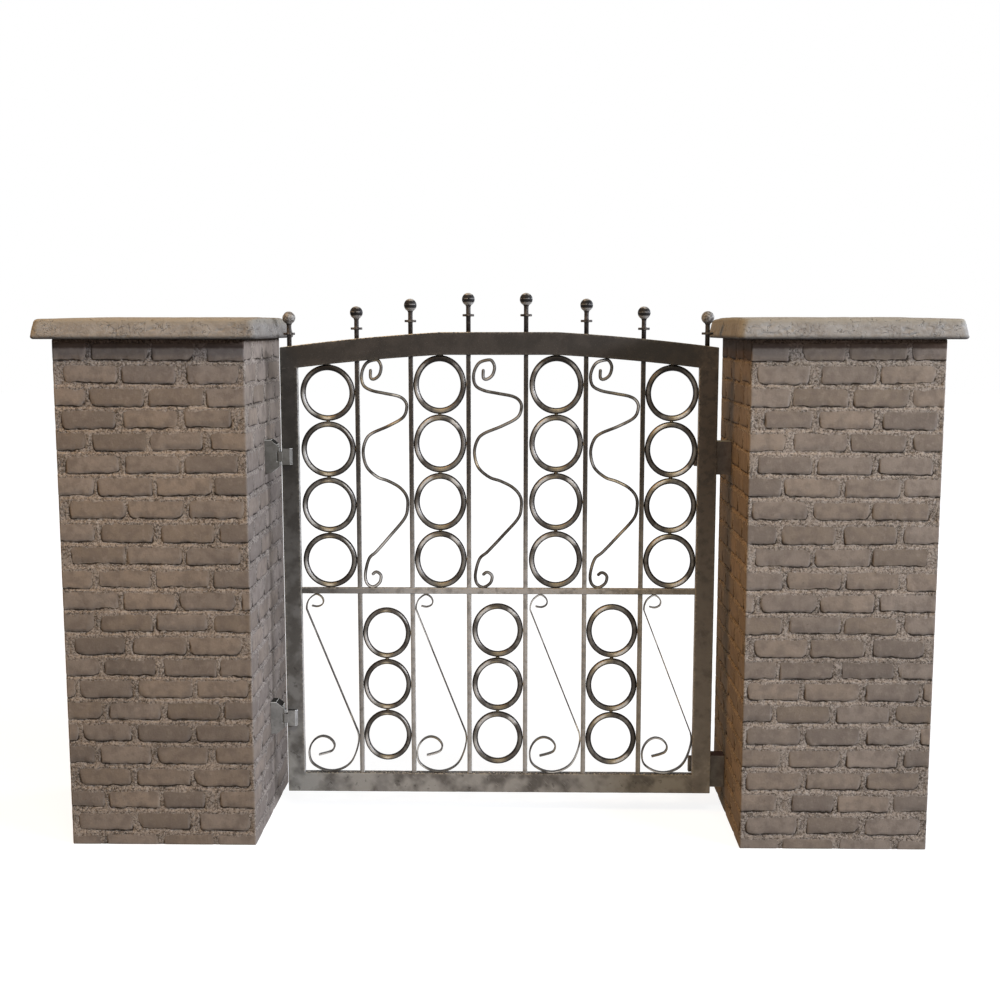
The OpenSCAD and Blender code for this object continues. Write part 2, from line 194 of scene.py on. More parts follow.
def feed(sockets, values):
    # links another node's output to the socket, or sets the socket's own value; a colour gets its alpha
    for socket, v in zip(sockets, values):
        if isinstance(v, bpy.types.NodeSocket):
            socket.id_data.links.new(v, socket)
        else:
            socket.default_value = (*v, 1.0) if socket.type == "RGBA" else v


def addNode(tree, kind, settings=None, **inputs):
    node = tree.nodes.new("ShaderNode" + kind)
    for k, v in (settings or {}).items():
        setattr(node, k, v)
    feed([node.inputs[k.replace("_", " ")] for k in inputs], inputs.values())
    return node


def treeOf(*values):
    return next(v for v in values if isinstance(v, bpy.types.NodeSocket)).id_data


def calc(operation, *values):
    node = addNode(treeOf(*values), "Math", {"operation": operation})
    feed(node.inputs, values)
    return node.outputs[0]


def times(a, b):
    return calc("MULTIPLY", a, b)


def timesPlus(a, b, c):
    return calc("MULTIPLY_ADD", a, b, c)


def minus(a, b):
    return calc("SUBTRACT", a, b)


def larger(a, b):
    return calc("MAXIMUM", a, b)


def awayFrom(value, centre):
    return calc("ABSOLUTE", minus(value, centre))


def ramp(value, low, high, toLow=0.0, toHigh=1.0):
    # goes smoothly from toLow, where the value is low, to toHigh, where it is high
    node = addNode(value.id_data, "MapRange", {"interpolation_type": "SMOOTHSTEP"})
    feed(node.inputs, (value, low, high, toLow, toHigh))
    return node.outputs[0]


def mixColour(share, a, b, blend="MIX"):
    node = addNode(treeOf(share, a, b), "Mix", {"data_type": "RGBA", "blend_type": blend})
    feed((node.inputs[0], node.inputs[6], node.inputs[7]), (share, a, b))
    return node.outputs[2]


def painted(colour, looks, **shares):
    # lays named colours over the colour one after another, each by its share
    for name, share in shares.items():
        colour = mixColour(share, colour, looks[name])
    return colour


def noise(place, scale, detail, rough):
    # scale counts the features in a metre
    node = addNode(place.id_data, "TexNoise", Vector=place, Scale=scale, Detail=detail, Roughness=rough)
    return node.outputs["Fac"]


def startMaterial(name, *noises):
    # a new material, its node tree, its object coordinates, and noises by scale, detail and roughness
    material = bpy.data.materials.new(name)
    material.use_nodes = True
    tree = material.node_tree
    tree.nodes.clear()
    place = addNode(tree, "TexCoord").outputs["Object"]
    return material, tree, place, *[noise(place, *n) for n in noises]


def field(tree, name):
    return addNode(tree, "Attribute", {"attribute_name": name}).outputs["Fac"]


def ridge(value, width):
    # a thin line wherever the noise passes its middle: 1 where |value - 0.5| is 0, none past the width
    return ramp(awayFrom(value, 0.5), width, 0.0)


def finishMaterial(tree, colour, roughness, height, bumpStrength, bumpDepth, metallic, specular):
    bump = addNode(tree, "Bump", Strength=bumpStrength, Distance=bumpDepth, Height=height)
    shader = addNode(tree, "BsdfPrincipled", Base_Color=colour, Roughness=roughness, Metallic=metallic,
                     Specular_IOR_Level=specular, Normal=bump.outputs[0])
    addNode(tree, "OutputMaterial", Surface=shader.outputs[0])


# brick pillars

brickWork = {
    "firstTop": 15.6,  # millimetres below the cap
    "pitch": 74.4,
    "height": 57,
    "width": 620,
    "cornerRound": 3,
    "corner": (16, 3),  # from where to where the relief fades out towards a corner
    "recess": 3.2,
    "unevenTop": 0.8,
    "unevenHeight": 1.2,
    "unevenLean": 0.012,
    "rounds": (5, 15),
    "chipRound": 14,
    "chipShare": 0.68,
    "endRound": (3, 2),
    "bedEdge": (-14, -2),
    "seed": 5,
    "faceColumns": (150, 110, 76, 90),  # front, gateway side, back, outer side
    "courseLines": (-9.5, -4.5, -1.2, 2.5, 11, 28.5, 46, 54.5, 58.2, 61.5),
    # how far each course is laid above its even place, in millimetres
    "lift": (4, 4, 6, 8.7, 10.4, 12.7, 14, 11.7, 9, 7, 4.7, 6.3, 6.7, 5.3, 5, 6.7, 6, 5, 4.3, 1.7, -1.3,
             -4, -5),
}

# each course from the top: where every brick starts and ends across the front, in millimetres
courses = (
    (-60, 110, 125, 308, 323, 456, 500, 690),
    (33, 207, 222, 397, 433, 599),
    (-60, 101, 115, 291, 306, 483, 493, 690),
    (23, 195, 223, 397, 421, 570),
    (-60, 98, 120, 295, 307, 476, 504, 690),
    (29, 204, 226, 400, 417, 590),
    (-60, 117, 131, 308, 324, 504, 513, 690),
    (37, 217, 227, 406, 428, 605),
    (-60, 114, 136, 306, 333, 507, 524, 690),
    (34, 211, 221, 398, 412, 588),
    (-60, 102, 121, 295, 311, 488, 501, 690),
    (-60, 183, 202, 375, 388, 571, 592, 690),
    (-60, 102, 123, 296, 308, 474, 499, 690),
    (32, 201, 226, 403, 416, 586),
    (-60, 115, 129, 299, 327, 501, 514, 690),
    (-60, 30, 45, 218, 241, 419, 438, 605),
    (-60, 116, 139, 311, 335, 507, 526, 690),
    (-60, 32, 51, 209, 233, 411, 430, 604),
    (-60, 84, 106, 274, 297, 463, 492, 690),
    (32, 203, 227, 403, 419, 603),
    (-60, 113, 127, 297, 313, 449, 501, 690),
    (25, 207, 223, 398, 431, 599),
    (-60, 94, 117, 289, 309, 477, 494, 690),
)
courseTops = brickWork["firstTop"] + np.arange(len(courses)) * brickWork["pitch"] - brickWork["lift"]


def brickDistance(x, z, left, right, top, height, random):
    # distance to a box with its own rounding at each corner: below 0 inside the brick, above 0 in the mortar
    middle = ((left + right) / 2, top + height / 2)
    half = ((right - left) / 2, height / 2)
    lean = random.normal(0, brickWork["unevenLean"])
    dx = x - middle[0] + lean * (z - middle[1])
    dz = z - middle[1] - lean * (x - middle[0])
    rounds = random.uniform(*brickWork["rounds"], 4)
    rounds += brickWork["chipRound"] * (random.uniform(0, 1, 4) > brickWork["chipShare"])
    rounds[:2] *= 0.8
    radius = np.where(dz < 0, np.where(dx < 0, rounds[0], rounds[1]), np.where(dx < 0, rounds[2], rounds[3]))
    radius = np.minimum(radius, half[1])
    qx = np.abs(dx) - half[0] + radius
    qz = np.abs(dz) - half[1] + radius
    outside = np.hypot(np.maximum(qx, 0), np.maximum(qz, 0))
    return outside + np.minimum(np.maximum(qx, qz), 0) - radius, dx / half[0], dz / half[1]


def brickMap(across, face, depth, side):
    # for each place on the wall: how far it lies outside its nearest brick, and that brick's looks
    random = np.random.default_rng(brickWork["seed"])
    shape = (len(depth), len(across))
    distance = np.full(shape, 30.0)
    values = {k: np.zeros(shape) for k in ("tone", "warm", "proud", "under", "end", "crown")}
    course = np.searchsorted(courseTops + brickWork["courseLines"][0], depth, side="right") - 1
    course = np.clip(course, 0, len(courses) - 1)
    for k, ends in enumerate(courses):
        r = np.nonzero(course == k)[0]
        cornerLooks = random.uniform(0, 1, (4, 3))
        for f in range(4):
            c = np.nonzero(face == f)[0]
            block = np.ix_(r, c)
            for left, right in zip(ends[::2], ends[1::2]):
                looks = random.uniform(0, 1, 3)
                if left < 0:
                    looks = cornerLooks[(f + (f % 2)) % 4]
                elif right > brickWork["width"]:
                    looks = cornerLooks[(f + 1 - (f % 2)) % 4]
                top = courseTops[k] + random.normal(0, brickWork["unevenTop"])
                height = brickWork["height"] + random.normal(0, brickWork["unevenHeight"])
                d, u, v = brickDistance(across[c][None], depth[r][:, None], left, right, top, height, random)
                nearer = d < distance[block]
                distance[block] = np.where(nearer, d, distance[block])
                crown = (1 - np.clip(u, -1, 1) ** 4) * (1 - np.clip(v, -1, 1) ** 4)
                for key, value in zip(values, (*looks, v, u * side, crown)):
                    values[key][block] = np.where(nearer, value, values[key][block])
    return distance, values


def brickRelief(distance, values, base, smear):
    # height of the wall's face in millimetres: bricks stand out of mortar that lies deepest under each one,
    # with a crack round the lower edges that smeared mortar fills
    inside = smoothStep(2.2, -3.5, distance)
    crust = layeredNoise(base, 13, 11, 3)
    under = smoothStep(-0.9, 1.0, values["under"])
    mortar = -0.5 - brickWork["recess"] * under + 2.2 * crust + 1.6 * smear
    crack = np.exp(-((distance - 1.2) / 1.8) ** 2) * (0.35 + 1.1 * under)
    brick = 0.7 * values["crown"] + 0.8 * values["proud"] + 0.5 * layeredNoise(base, 34, 41, 3) - 1.6
    return mortar + (brick - mortar) * inside - 2.2 * crack * (1 - 0.7 * smear)


def pillarSurface(box, mirrored, beds):
    # the wall goes round four faces as one grid of height by perimeter; its relief stands out along the
    # outward direction of a square with round corners
    width, height = brickWork["width"], (box[1][2] - box[0][2]) / mm
    side = -1 if mirrored else 1
    lines = (courseTops[:, None] + np.array(brickWork["courseLines"])).ravel()
    depth = np.sort(lines[(lines > 3) & (lines < height - 3)])
    depth = np.concatenate([[0.0, 2.5], depth, [height - 2.5, height]])
    counts = brickWork["faceColumns"]
    along = np.concatenate([(np.arange(n) + 0.5) / n * width for n in counts])
    face = np.repeat(np.arange(4), counts)
    across = np.where(face % 2 == 0, along, width - along)  # the bond folds round each corner
    z = depth[:, None]
    distance, values = brickMap(across, face, depth, side)
    base = np.stack(np.broadcast_arrays(across, z, face * 700.0), axis=-1)
    smear = smoothStep(0.15, 0.7, layeredNoise(base, 75, 29, 2))
    distance = distance + 3.8 * layeredNoise(base, 24, 3, 3) + 3.4 * smear
    relief = brickRelief(distance, values, base, smear)
    toCorner = np.minimum(along, width - along)[None]
    relief = relief + (-0.4 - relief) * smoothStep(*brickWork["corner"], toCorner) * 0.85
    for low, high, top, foot in beds:  # mortar is made up level where a bracket is built in
        inside = np.minimum(np.minimum(along - low, high - along)[None], np.minimum(z - top, foot - z))
        inBed = smoothStep(*brickWork["bedEdge"], inside) * (face == 1)[None]
        relief = relief * (1 - inBed)
        distance = distance + (9 - distance) * inBed
    relief = np.minimum(relief, -0.05)
    half, rounding = width / 2, brickWork["cornerRound"]
    cx, cy, nx, ny = roundCorners(face, along / half - 1, half, half, rounding)
    endRound = np.maximum(0, brickWork["endRound"][0] - depth)
    endRound += np.maximum(0, depth - height + brickWork["endRound"][1])
    out = rounding + relief - endRound[:, None]
    centre = (box[0] + box[1]) / 2
    x, y = centre[0] + side * (cx + nx * out) * mm, centre[1] + (cy + ny * out) * mm
    places = np.broadcast_arrays(x, y, box[1][2] - z * mm)
    gateway = (face == 1)[None]
    overFront = smoothStep(300, 100, z) * (face == 0)[None]
    fields = {
        "brickEdge": np.clip(distance / 12, -1, 1),
        "brickTone": values["tone"],
        "brickWarmth": values["warm"],
        "brickUnder": np.clip(values["under"], -1, 1),
        "brickEnd": np.clip(values["end"], -1, 1),
        # wallDepth places the painted shadow under the cap: it is almost left off the left pillar's gateway
        # face and drawn out further down the right pillar's
        "wallDepth": np.where(gateway, z * 0.42 if mirrored else 26 + z * 0.3, z) / 1000,
        # painted shade and light by face: the left pillar is painted darker and cooler at the top of its front
        # and lower down its gateway face; the right pillar's gateway face is painted browner lower down, for
        # the warm light on it
        "soiled": (not mirrored) * (overFront + gateway * 0.85 * smoothStep(150, 500, z)),
        "brownStain": mirrored * gateway * smoothStep(150, 500, z),
    }
    return withPoles(np.stack(places, axis=-1), fields)


brickLooks = {
    "grey": ((0.168, 0.137, 0.111), (0.261, 0.214, 0.173)),
    "tan": ((0.182, 0.144, 0.109), (0.265, 0.21, 0.162)),
    "blotch": (0.15, 0.119, 0.097),
    "bloom": (0.305, 0.248, 0.2),
    "pore": (0.09, 0.07, 0.055),
    "mortar": ((0.226, 0.185, 0.148), (0.345, 0.29, 0.238)),
    "lime": (0.4, 0.35, 0.297),
    "worm": (0.085, 0.064, 0.047),
    "joint": (0.026, 0.018, 0.013),
    "pit": (0.045, 0.033, 0.024),
    "soot": ((0.62, 0.52, 0.47), (0.33, 0.275, 0.25)),
    "brownStain": (1.05, 0.93, 0.74),
    "soiled": (0.88, 0.9, 0.95),
}


def makeBrickMaterial(looks):
    material, tree, place, fine, grain, coarse, patch, broad, wide = startMaterial(
        "tumbledBrick", (420, 3, 0.6), (130, 4, 0.62), (60, 3, 0.6), (26, 3, 0.55), (4, 2, 0.5),
        (15, 2, 0.5))
    shift = timesPlus(minus(grain, 0.5), 0.42, field(tree, "brickEdge"))
    edge = timesPlus(minus(coarse, 0.5), 0.45, shift)
    isBrick = ramp(edge, 0.1, -0.05)
    tone = field(tree, "brickTone")
    brick = mixColour(ramp(field(tree, "brickWarmth"), 0.35, 0.75), mixColour(tone, *looks["grey"]),
                      mixColour(tone, *looks["tan"]))
    brick = painted(brick, looks, blotch=ramp(patch, 0.4, 0.66, 0, 0.6),
                    bloom=ramp(coarse, 0.5, 0.75, 0, 0.35), pore=ramp(grain, 0.62, 0.74, 0, 0.5))
    worms = times(ridge(noise(place, 88, 2, 0.5), 0.07), ramp(grain, 0.64, 0.46, 0, 0.9))
    mortar = mixColour(ramp(grain, 0.3, 0.7), *looks["mortar"])
    mortar = painted(mortar, looks, lime=ramp(coarse, 0.5, 0.7, 0, 0.6), worm=worms)
    # painted shade: dark lines are painted under the bricks and up their left ends, as their shadows from
    # light above and to the right, wider in some parts of the wall
    under = field(tree, "brickUnder")
    leftEnd = times(ramp(field(tree, "brickEnd"), -0.86, -0.97), ramp(under, -0.7, 0.1, 0.2, 0.9))
    lower = larger(ramp(under, 0.1, 0.75, 0.1, 1.0), leftEnd)
    reach = timesPlus(ramp(wide, 0.4, 0.58), 0.26, 0.13)
    near = ramp(awayFrom(edge, 0.05), reach, 0.03)
    line = times(times(near, lower), ramp(patch, 0.38, 0.5, 0.25, 1.0))
    pits = times(ridge(noise(place, 70, 3, 0.5), 0.035), ramp(wide, 0.42, 0.56))
    pits = times(pits, ramp(isBrick, 0.0, 1.0, 0.8, 0.06))
    colour = painted(mixColour(isBrick, mortar, brick), looks, joint=times(line, 0.95), pit=pits)
    # painted shadow: a dark band is painted down the wall under the cap's overhang, its lower edge broken by
    # noise
    depth = field(tree, "wallDepth")
    sooted = mixColour(ramp(depth, 0.004, 0.026), *looks["soot"])
    colour = mixColour(ramp(timesPlus(coarse, 0.008, depth), 0.038, 0.029), colour, sooted, "MULTIPLY")
    # painted light and shade on single faces, laid on by multiplying
    for stain in ("brownStain", "soiled"):
        colour = mixColour(field(tree, stain), colour, looks[stain], "MULTIPLY")
    weather = ramp(broad, 0.3, 0.7, 0.92, 1.06)
    grime = addNode(tree, "CombineColor", Red=weather, Green=weather, Blue=weather).outputs[0]
    colour = mixColour(1.0, colour, grime, "MULTIPLY")
    height = timesPlus(grain, ramp(isBrick, 0, 1, 1.0, 0.3), times(isBrick, 0.7))
    height = timesPlus(fine, ramp(isBrick, 0, 1, 0.55, 0.12), height)
    height = minus(height, times(larger(line, pits), 0.9))
    finishMaterial(tree, colour, 0.93, height, 0.85, 3.5 * mm, 0.0, 0.2)
    return material


brickMaterial = makeBrickMaterial(brickLooks)
bedMargin = 2
for name, node, mirrored, brackets in (
        ("leftPillarBricks", "left_pillar", False, ("upper_hinge_bracket", "lower_hinge_bracket")),
        ("rightPillarBricks", "right_pillar", True, ("upper_stop_bracket", "lower_stop_bracket"))):
    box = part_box(node)
    beds = []
    for bracket in brackets:
        low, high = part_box(bracket)
        beds.append(((low[1] - box[0][1]) / mm - bedMargin, (high[1] - box[0][1]) / mm + bedMargin,
                     (box[1][2] - high[2]) / mm - bedMargin, (box[1][2] - low[2]) / mm + bedMargin))
    makePiece(name, [pillarSurface(box, mirrored, beds)], brickMaterial, "posts", [node])
print("pillars laid")

# stone caps

capStone = {
    "foot": 9,
    "lean": 9,
    "nose": 15,
    "fall": 6,
    "fallWidth": 190,
    "cornerRound": 22,
    "around": 640,
    "wear": 0.9,
    "flakeDepth": 2.3,
}


def capTop(x, y, half, height, gateSide):
    # level in the middle; past the margin it falls in a straight slope to every edge but the gateway one
    run = capStone["fallWidth"] - capStone["lean"] - capStone["nose"]
    start = half - capStone["fallWidth"]
    past = np.stack([np.where(x * gateSide > 0, 0, np.abs(x) - start[0]), np.abs(y) - start[1]])
    return height - capStone["fall"] * np.clip(past / run, 0, 1).max(axis=0)


def capSurface(box, seed, gateSide, dirt):
    # a rectangle with round corners carried up a section: flat foot, small round, leaning side, nose and
    # sloping top that ends level; noise wears it inwards and chips flakes off its sides
    half = (box[1] - box[0])[:2] / 2 / mm - 0.3
    height = (box[1][2] - box[0][2]) / mm
    foot, nose, lean, fallWidth = [capStone[k] for k in ("foot", "nose", "lean", "fallWidth")]
    brow = height - capStone["fall"]
    a = np.linspace(0, math.pi / 2, 8)
    inset = [np.linspace(half[1] - 4, foot + 6, 9), foot * (1 - np.sin(a)),
             np.linspace(0.06, 0.9, 16) * lean, lean + nose * (1 - np.cos(a)),
             np.linspace(lean + nose + 5, fallWidth, 16), np.linspace(fallWidth + 14, half[1] - 4, 9)]
    rise = [np.zeros(9), foot * (1 - np.cos(a)), np.linspace(foot + 2, brow - nose - 2, 16),
            brow - nose + nose * np.sin(a), np.full(25, brow)]
    noseEnd = sum(len(v) for v in inset[:4])
    inset, rise = np.concatenate(inset)[:, None], np.concatenate(rise)[:, None]
    side, t = np.divmod(np.arange(capStone["around"]), capStone["around"] // 4)
    t = t / capStone["around"] * 8 - 1
    rounding = np.minimum(capStone["cornerRound"], half[1] - inset)
    cx, cy, nx, ny = roundCorners(side, t, half[0] - inset, half[1] - inset, rounding)
    x, y = cx + nx * rounding, cy + ny * rounding
    top = capTop(x, y, half, height, gateSide)
    z = np.where(np.arange(len(rise))[:, None] < noseEnd, rise * top[noseEnd - 1] / brow, top)
    base = np.stack([x, y, z], axis=-1)
    rough = layeredNoise(base, 60, seed, 2) + layeredNoise(base * (1.0, 1.0, 2.2), 17, seed + 5, 3)
    flake = smoothStep(0.18, 0.42, layeredNoise(base * (0.6, 0.6, 1.3), 19, seed + 9, 3))
    flake = flake * smoothStep(-0.35, 0.25, layeredNoise(base, 120, seed + 14, 2))
    flake = flake * smoothStep(brow - 6, brow - 26, z)
    sunk = -capStone["wear"] * np.maximum(1 - rough, 0) - capStone["flakeDepth"] * flake
    onTop = smoothStep(brow - nose * 0.6, brow - 0.5, z)
    onSide = smoothStep(1, foot, z) * (1 - onTop)
    x = x + nx * sunk * onSide
    y = y + ny * sunk * onSide
    z = np.clip(z + 0.5 * sunk * onTop, 0, height)
    centre = (box[0] + box[1]) / 2
    places = np.stack([centre[0] + x * mm, centre[1] + y * mm, box[0][2] + z * mm], axis=-1)
    gateEnd = smoothStep(half[0] - 70, half[0] - 12, base[..., 0] * gateSide)
    return withPoles(places, {
        "capTop": smoothStep(brow - 24, brow - 8, z),
        "capFlake": flake,
        "capDirt": dirt[0] + dirt[1] * gateEnd,
        "capFoot": smoothStep(foot * 1.9, foot * 0.2, base[..., 2]),
    })


stoneLooks = {
    "body": ((0.218, 0.197, 0.172), (0.3, 0.283, 0.258)),
    "grain": (0.34, 0.325, 0.3),
    "speck": (0.14, 0.124, 0.108),
    "top": (0.26, 0.236, 0.19),
    "flake": (0.3, 0.288, 0.27),
    "crack": (0.05, 0.043, 0.036),
    "foot": (0.07, 0.062, 0.054),
    "dirt": (0.53, 0.49, 0.455),
}


def makeStoneMaterial(looks):
    material, tree, place, fine, grain, patch, wide = startMaterial(
        "weatheredStone", (380, 3, 0.6), (90, 4, 0.6), (17, 3, 0.55), (7, 2, 0.5))
    top = field(tree, "capTop")
    crack = times(ridge(noise(place, 30, 3, 0.5), 0.014), ramp(patch, 0.5, 0.58))
    chip = times(ridge(noise(place, 62, 2, 0.5), 0.03), ramp(wide, 0.46, 0.6))
    chip = times(chip, minus(1.0, top))
    # painted light: the cap's top band is painted a warmer olive, for the warm light falling on it
    # painted shade: the cap's foot round is painted dark, where its underside turns from the light
    colour = painted(mixColour(ramp(patch, 0.3, 0.72), *looks["body"]), looks,
                     grain=ramp(grain, 0.5, 0.72, 0, 0.5), speck=ramp(fine, 0.62, 0.76, 0, 0.3),
                     top=times(top, 0.75), flake=times(field(tree, "capFlake"), 0.25),
                     crack=larger(times(crack, 0.7), times(chip, 0.4)),
                     foot=times(field(tree, "capFoot"), 0.8))
    # the left cap is made darker all over, and most towards its gateway end
    colour = mixColour(field(tree, "capDirt"), colour, looks["dirt"], "MULTIPLY")
    height = timesPlus(grain, 0.8, times(fine, 0.35))
    height = minus(height, times(larger(crack, chip), 0.9))
    finishMaterial(tree, colour, 0.9, height, 0.7, 3.5 * mm, 0.0, 0.2)
    return material


stoneMaterial = makeStoneMaterial(stoneLooks)
for name, node, seed, gateSide, dirt in (("leftCapStone", "left_pillar_cap", 31, 1, (0.16, 0.4)),
                                         ("rightCapStone", "right_pillar_cap", 57, -1, (0.0, 0.0))):
    surface = capSurface(np.array(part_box(node)), seed, gateSide, dirt)
    makePiece(name, [surface], stoneMaterial, "posts", [node])
print("caps set")

# steel finishes

# of two colours the first is for high up or the dark places, the second for low down or the pale places; the
# frame's paling low down is painted light
frameLooks = {
    "dark": ((0.026, 0.022, 0.0185), (0.12, 0.108, 0.095)),
    "pale": ((0.04, 0.034, 0.029), (0.235, 0.219, 0.199)),
    "foot": (0.37, 0.348, 0.312),
    "stain": (0.026, 0.021, 0.017),
    "scratch": (0.46, 0.44, 0.4),
    "handled": ((0.08, 0.063, 0.052), (0.215, 0.195, 0.178)),
    "wornBar": (0.43, 0.41, 0.382),
    "leftEdge": (0.022, 0.018, 0.015),
    "specks": ((0.085, 0.066, 0.048), (0.33, 0.285, 0.23)),
    "soot": ((0.018, 0.013, 0.01), (0.42, 0.36, 0.3)),
    "side": (0.36, 0.335, 0.3),
    "wornEdge": (0.34, 0.3, 0.235),
    "rim": (0.62, 0.53, 0.38),
    "dust": (0.2, 0.18, 0.15),
}
ringLooks = {
    "middle": ((0.055, 0.047, 0.04), (0.15, 0.138, 0.122)),
    "edge": (0.014, 0.011, 0.009),
    "tarnish": (0.27, 0.215, 0.135),
    "glint": (0.66, 0.58, 0.45),
    "silver": (0.52, 0.5, 0.47),
    "stain": (0.03, 0.025, 0.02),
}


def makeFrameMaterial(looks):
    material, tree, place, fine, grain, stain, patch, wide = startMaterial(
        "weatheredFrameSteel", (520, 3, 0.6), (130, 4, 0.6), (34, 4, 0.62), (13, 3, 0.6), (11, 3, 0.5))
    across, depth, up = addNode(tree, "SeparateXYZ", Vector=place).outputs
    slanted = addNode(tree, "Mapping", {"vector_type": "TEXTURE"}, Vector=place, Rotation=(0.0, 0.75, 0.0),
                      Scale=(1.0, 1.0, 0.09)).outputs[0]
    scratch = noise(slanted, 34, 2, 0.5)
    # painted light: the frame is painted paler towards the ground, as light thrown up from below; the foot
    # adds patchy pale dust and scratches
    low = ramp(up, 1.45, 0.15)
    foot = ramp(up, 0.42, 0.14)
    dark, pale = mixColour(low, *looks["dark"]), mixColour(low, *looks["pale"])
    colour = mixColour(ramp(patch, 0.4, 0.64), dark, pale)
    colour = painted(colour, looks, foot=times(foot, ramp(wide, 0.38, 0.6, 0.0, 0.9)),
                     stain=ramp(stain, 0.6, 0.69, 0, 0.5),
                     scratch=times(ramp(scratch, 0.6, 0.72, 0, 0.35), foot))
    # the free stile, right of x 0.66, takes its own colour in patches
    handled = times(ramp(across, 0.66, 0.7, 0, 0.8), ramp(stain, 0.38, 0.56, 0.3, 1.0))
    colour = mixColour(handled, colour, mixColour(low, *looks["handled"]))
    # thin bars are worn pale low down, most of all in the middle of the leaf
    middling = times(ramp(up, 1.25, 0.75), ramp(awayFrom(across, 0.08), 0.8, 0.3))
    worn = times(field(tree, "slender"), middling)
    # painted shade: upright bars are painted darker along their left edge, the side turned from the light
    leftPart = times(ramp(field(tree, "leftPart"), -0.1, 0.45, 0, 0.6), ramp(worn, 0.0, 1.0, 1.0, 0.35))
    worn = times(worn, ramp(stain, 0.62, 0.45, 0.5, 0.95))
    colour = painted(colour, looks, wornBar=worn, leftEdge=leftPart)
    # painted light and shade on faces that look up: pale specks where the light catches the top and middle
    # rails, and on the bottom rail near black painted shade with pale specks
    specks = mixColour(ramp(grain, 0.4, 0.6), *looks["specks"])
    soot = mixColour(ramp(grain, 0.55, 0.62), *looks["soot"])
    top = times(ramp(field(tree, "upFacing"), 0.5, 0.9), 0.85)
    colour = mixColour(top, colour, mixColour(field(tree, "sooty"), specks, soot))
    # painted light: faces turned sideways are painted pale and patchy, as the light catching them
    side = times(ramp(field(tree, "sideFacing"), 0.6, 0.95), ramp(grain, 0.36, 0.52, 0.25, 0.9))
    edge = times(times(field(tree, "edgeWear"), ramp(grain, 0.46, 0.6)), ramp(low, 0, 1, 0.3, 0.85))
    # partly wear, partly painted highlight: the top rail's upward edge over its left half is painted a bright
    # warm rim, broken by grain
    rim = times(field(tree, "rim"), ramp(grain, 0.4, 0.52, 0.1, 1.0))
    colour = painted(colour, looks, side=side, wornEdge=edge, rim=rim, dust=ramp(fine, 0.66, 0.73, 0, 0.6))
    height = timesPlus(grain, 0.6, times(fine, 0.3))
    finishMaterial(tree, colour, ramp(patch, 0.3, 0.7, 0.5, 0.66), height, 0.35, 1.2 * mm, 0.0, 0.2)
    return material


def makeRingMaterial(looks):
    material, tree, place, fine, grain, patch = startMaterial(
        "rubbedRingSteel", (600, 3, 0.6), (150, 4, 0.6), (16, 3, 0.6))
    shaken = timesPlus(minus(grain, 0.5), 0.3, field(tree, "crown"))
    middle = mixColour(ramp(patch, 0.38, 0.62), *looks["middle"])
    # painted reflection: where crown is low, on the parts of a bar that face along the leaf's plane, it is
    # painted near black, as a round bar's dark edge reflections
    colour = mixColour(ramp(shaken, 0.66, 0.98), looks["edge"], middle)
    # painted highlights: silver glints on the shoulders and gold glints at the top and foot of each ring; on
    # the scrolls the same colours lie in random patches
    yellow = field(tree, "tarnish")
    tarnish = times(ramp(yellow, 0.3, 0.9), ramp(shaken, 0.5, 0.95))
    glint = times(ramp(yellow, 0.75, 1.0), ramp(shaken, 0.86, 1.0))
    silver = times(ramp(field(tree, "rubbed"), 0.2, 0.75), ramp(shaken, 0.74, 0.97))
    colour = painted(colour, looks, tarnish=times(tarnish, 0.7), glint=times(glint, 0.8),
                     silver=times(silver, 0.9), stain=ramp(grain, 0.55, 0.7, 0, 0.5))
    height = timesPlus(grain, 0.6, times(fine, 0.3))
    finishMaterial(tree, colour, ramp(grain, 0.3, 0.7, 0.36, 0.52), height, 0.3, 0.8 * mm, 0.6, 0.2)
    return material


# top paints the faces that look up: painted shade on the hinges and the lower stop, a painted highlight on the
# upper stop; the lower hinge's and lower stop's bodies are painted brighter as painted light
hardwareLooks = {
    "upper_hinge": {"body": ((0.112, 0.104, 0.092), (0.17, 0.16, 0.145)), "top": (0.016, 0.014, 0.012)},
    "lower_hinge": {"body": ((0.21, 0.2, 0.186), (0.31, 0.296, 0.276)), "top": (0.014, 0.012, 0.01)},
    "upper_stop": {"body": ((0.09, 0.068, 0.054), (0.165, 0.132, 0.108)), "top": (0.4, 0.35, 0.26)},
    "lower_stop": {"body": ((0.115, 0.094, 0.078), (0.195, 0.168, 0.14)), "top": (0.05, 0.024, 0.018)},
}
hardwareWear = {"stain": (0.05, 0.044, 0.037), "speck": (0.3, 0.28, 0.25), "bright": (0.72, 0.69, 0.64)}


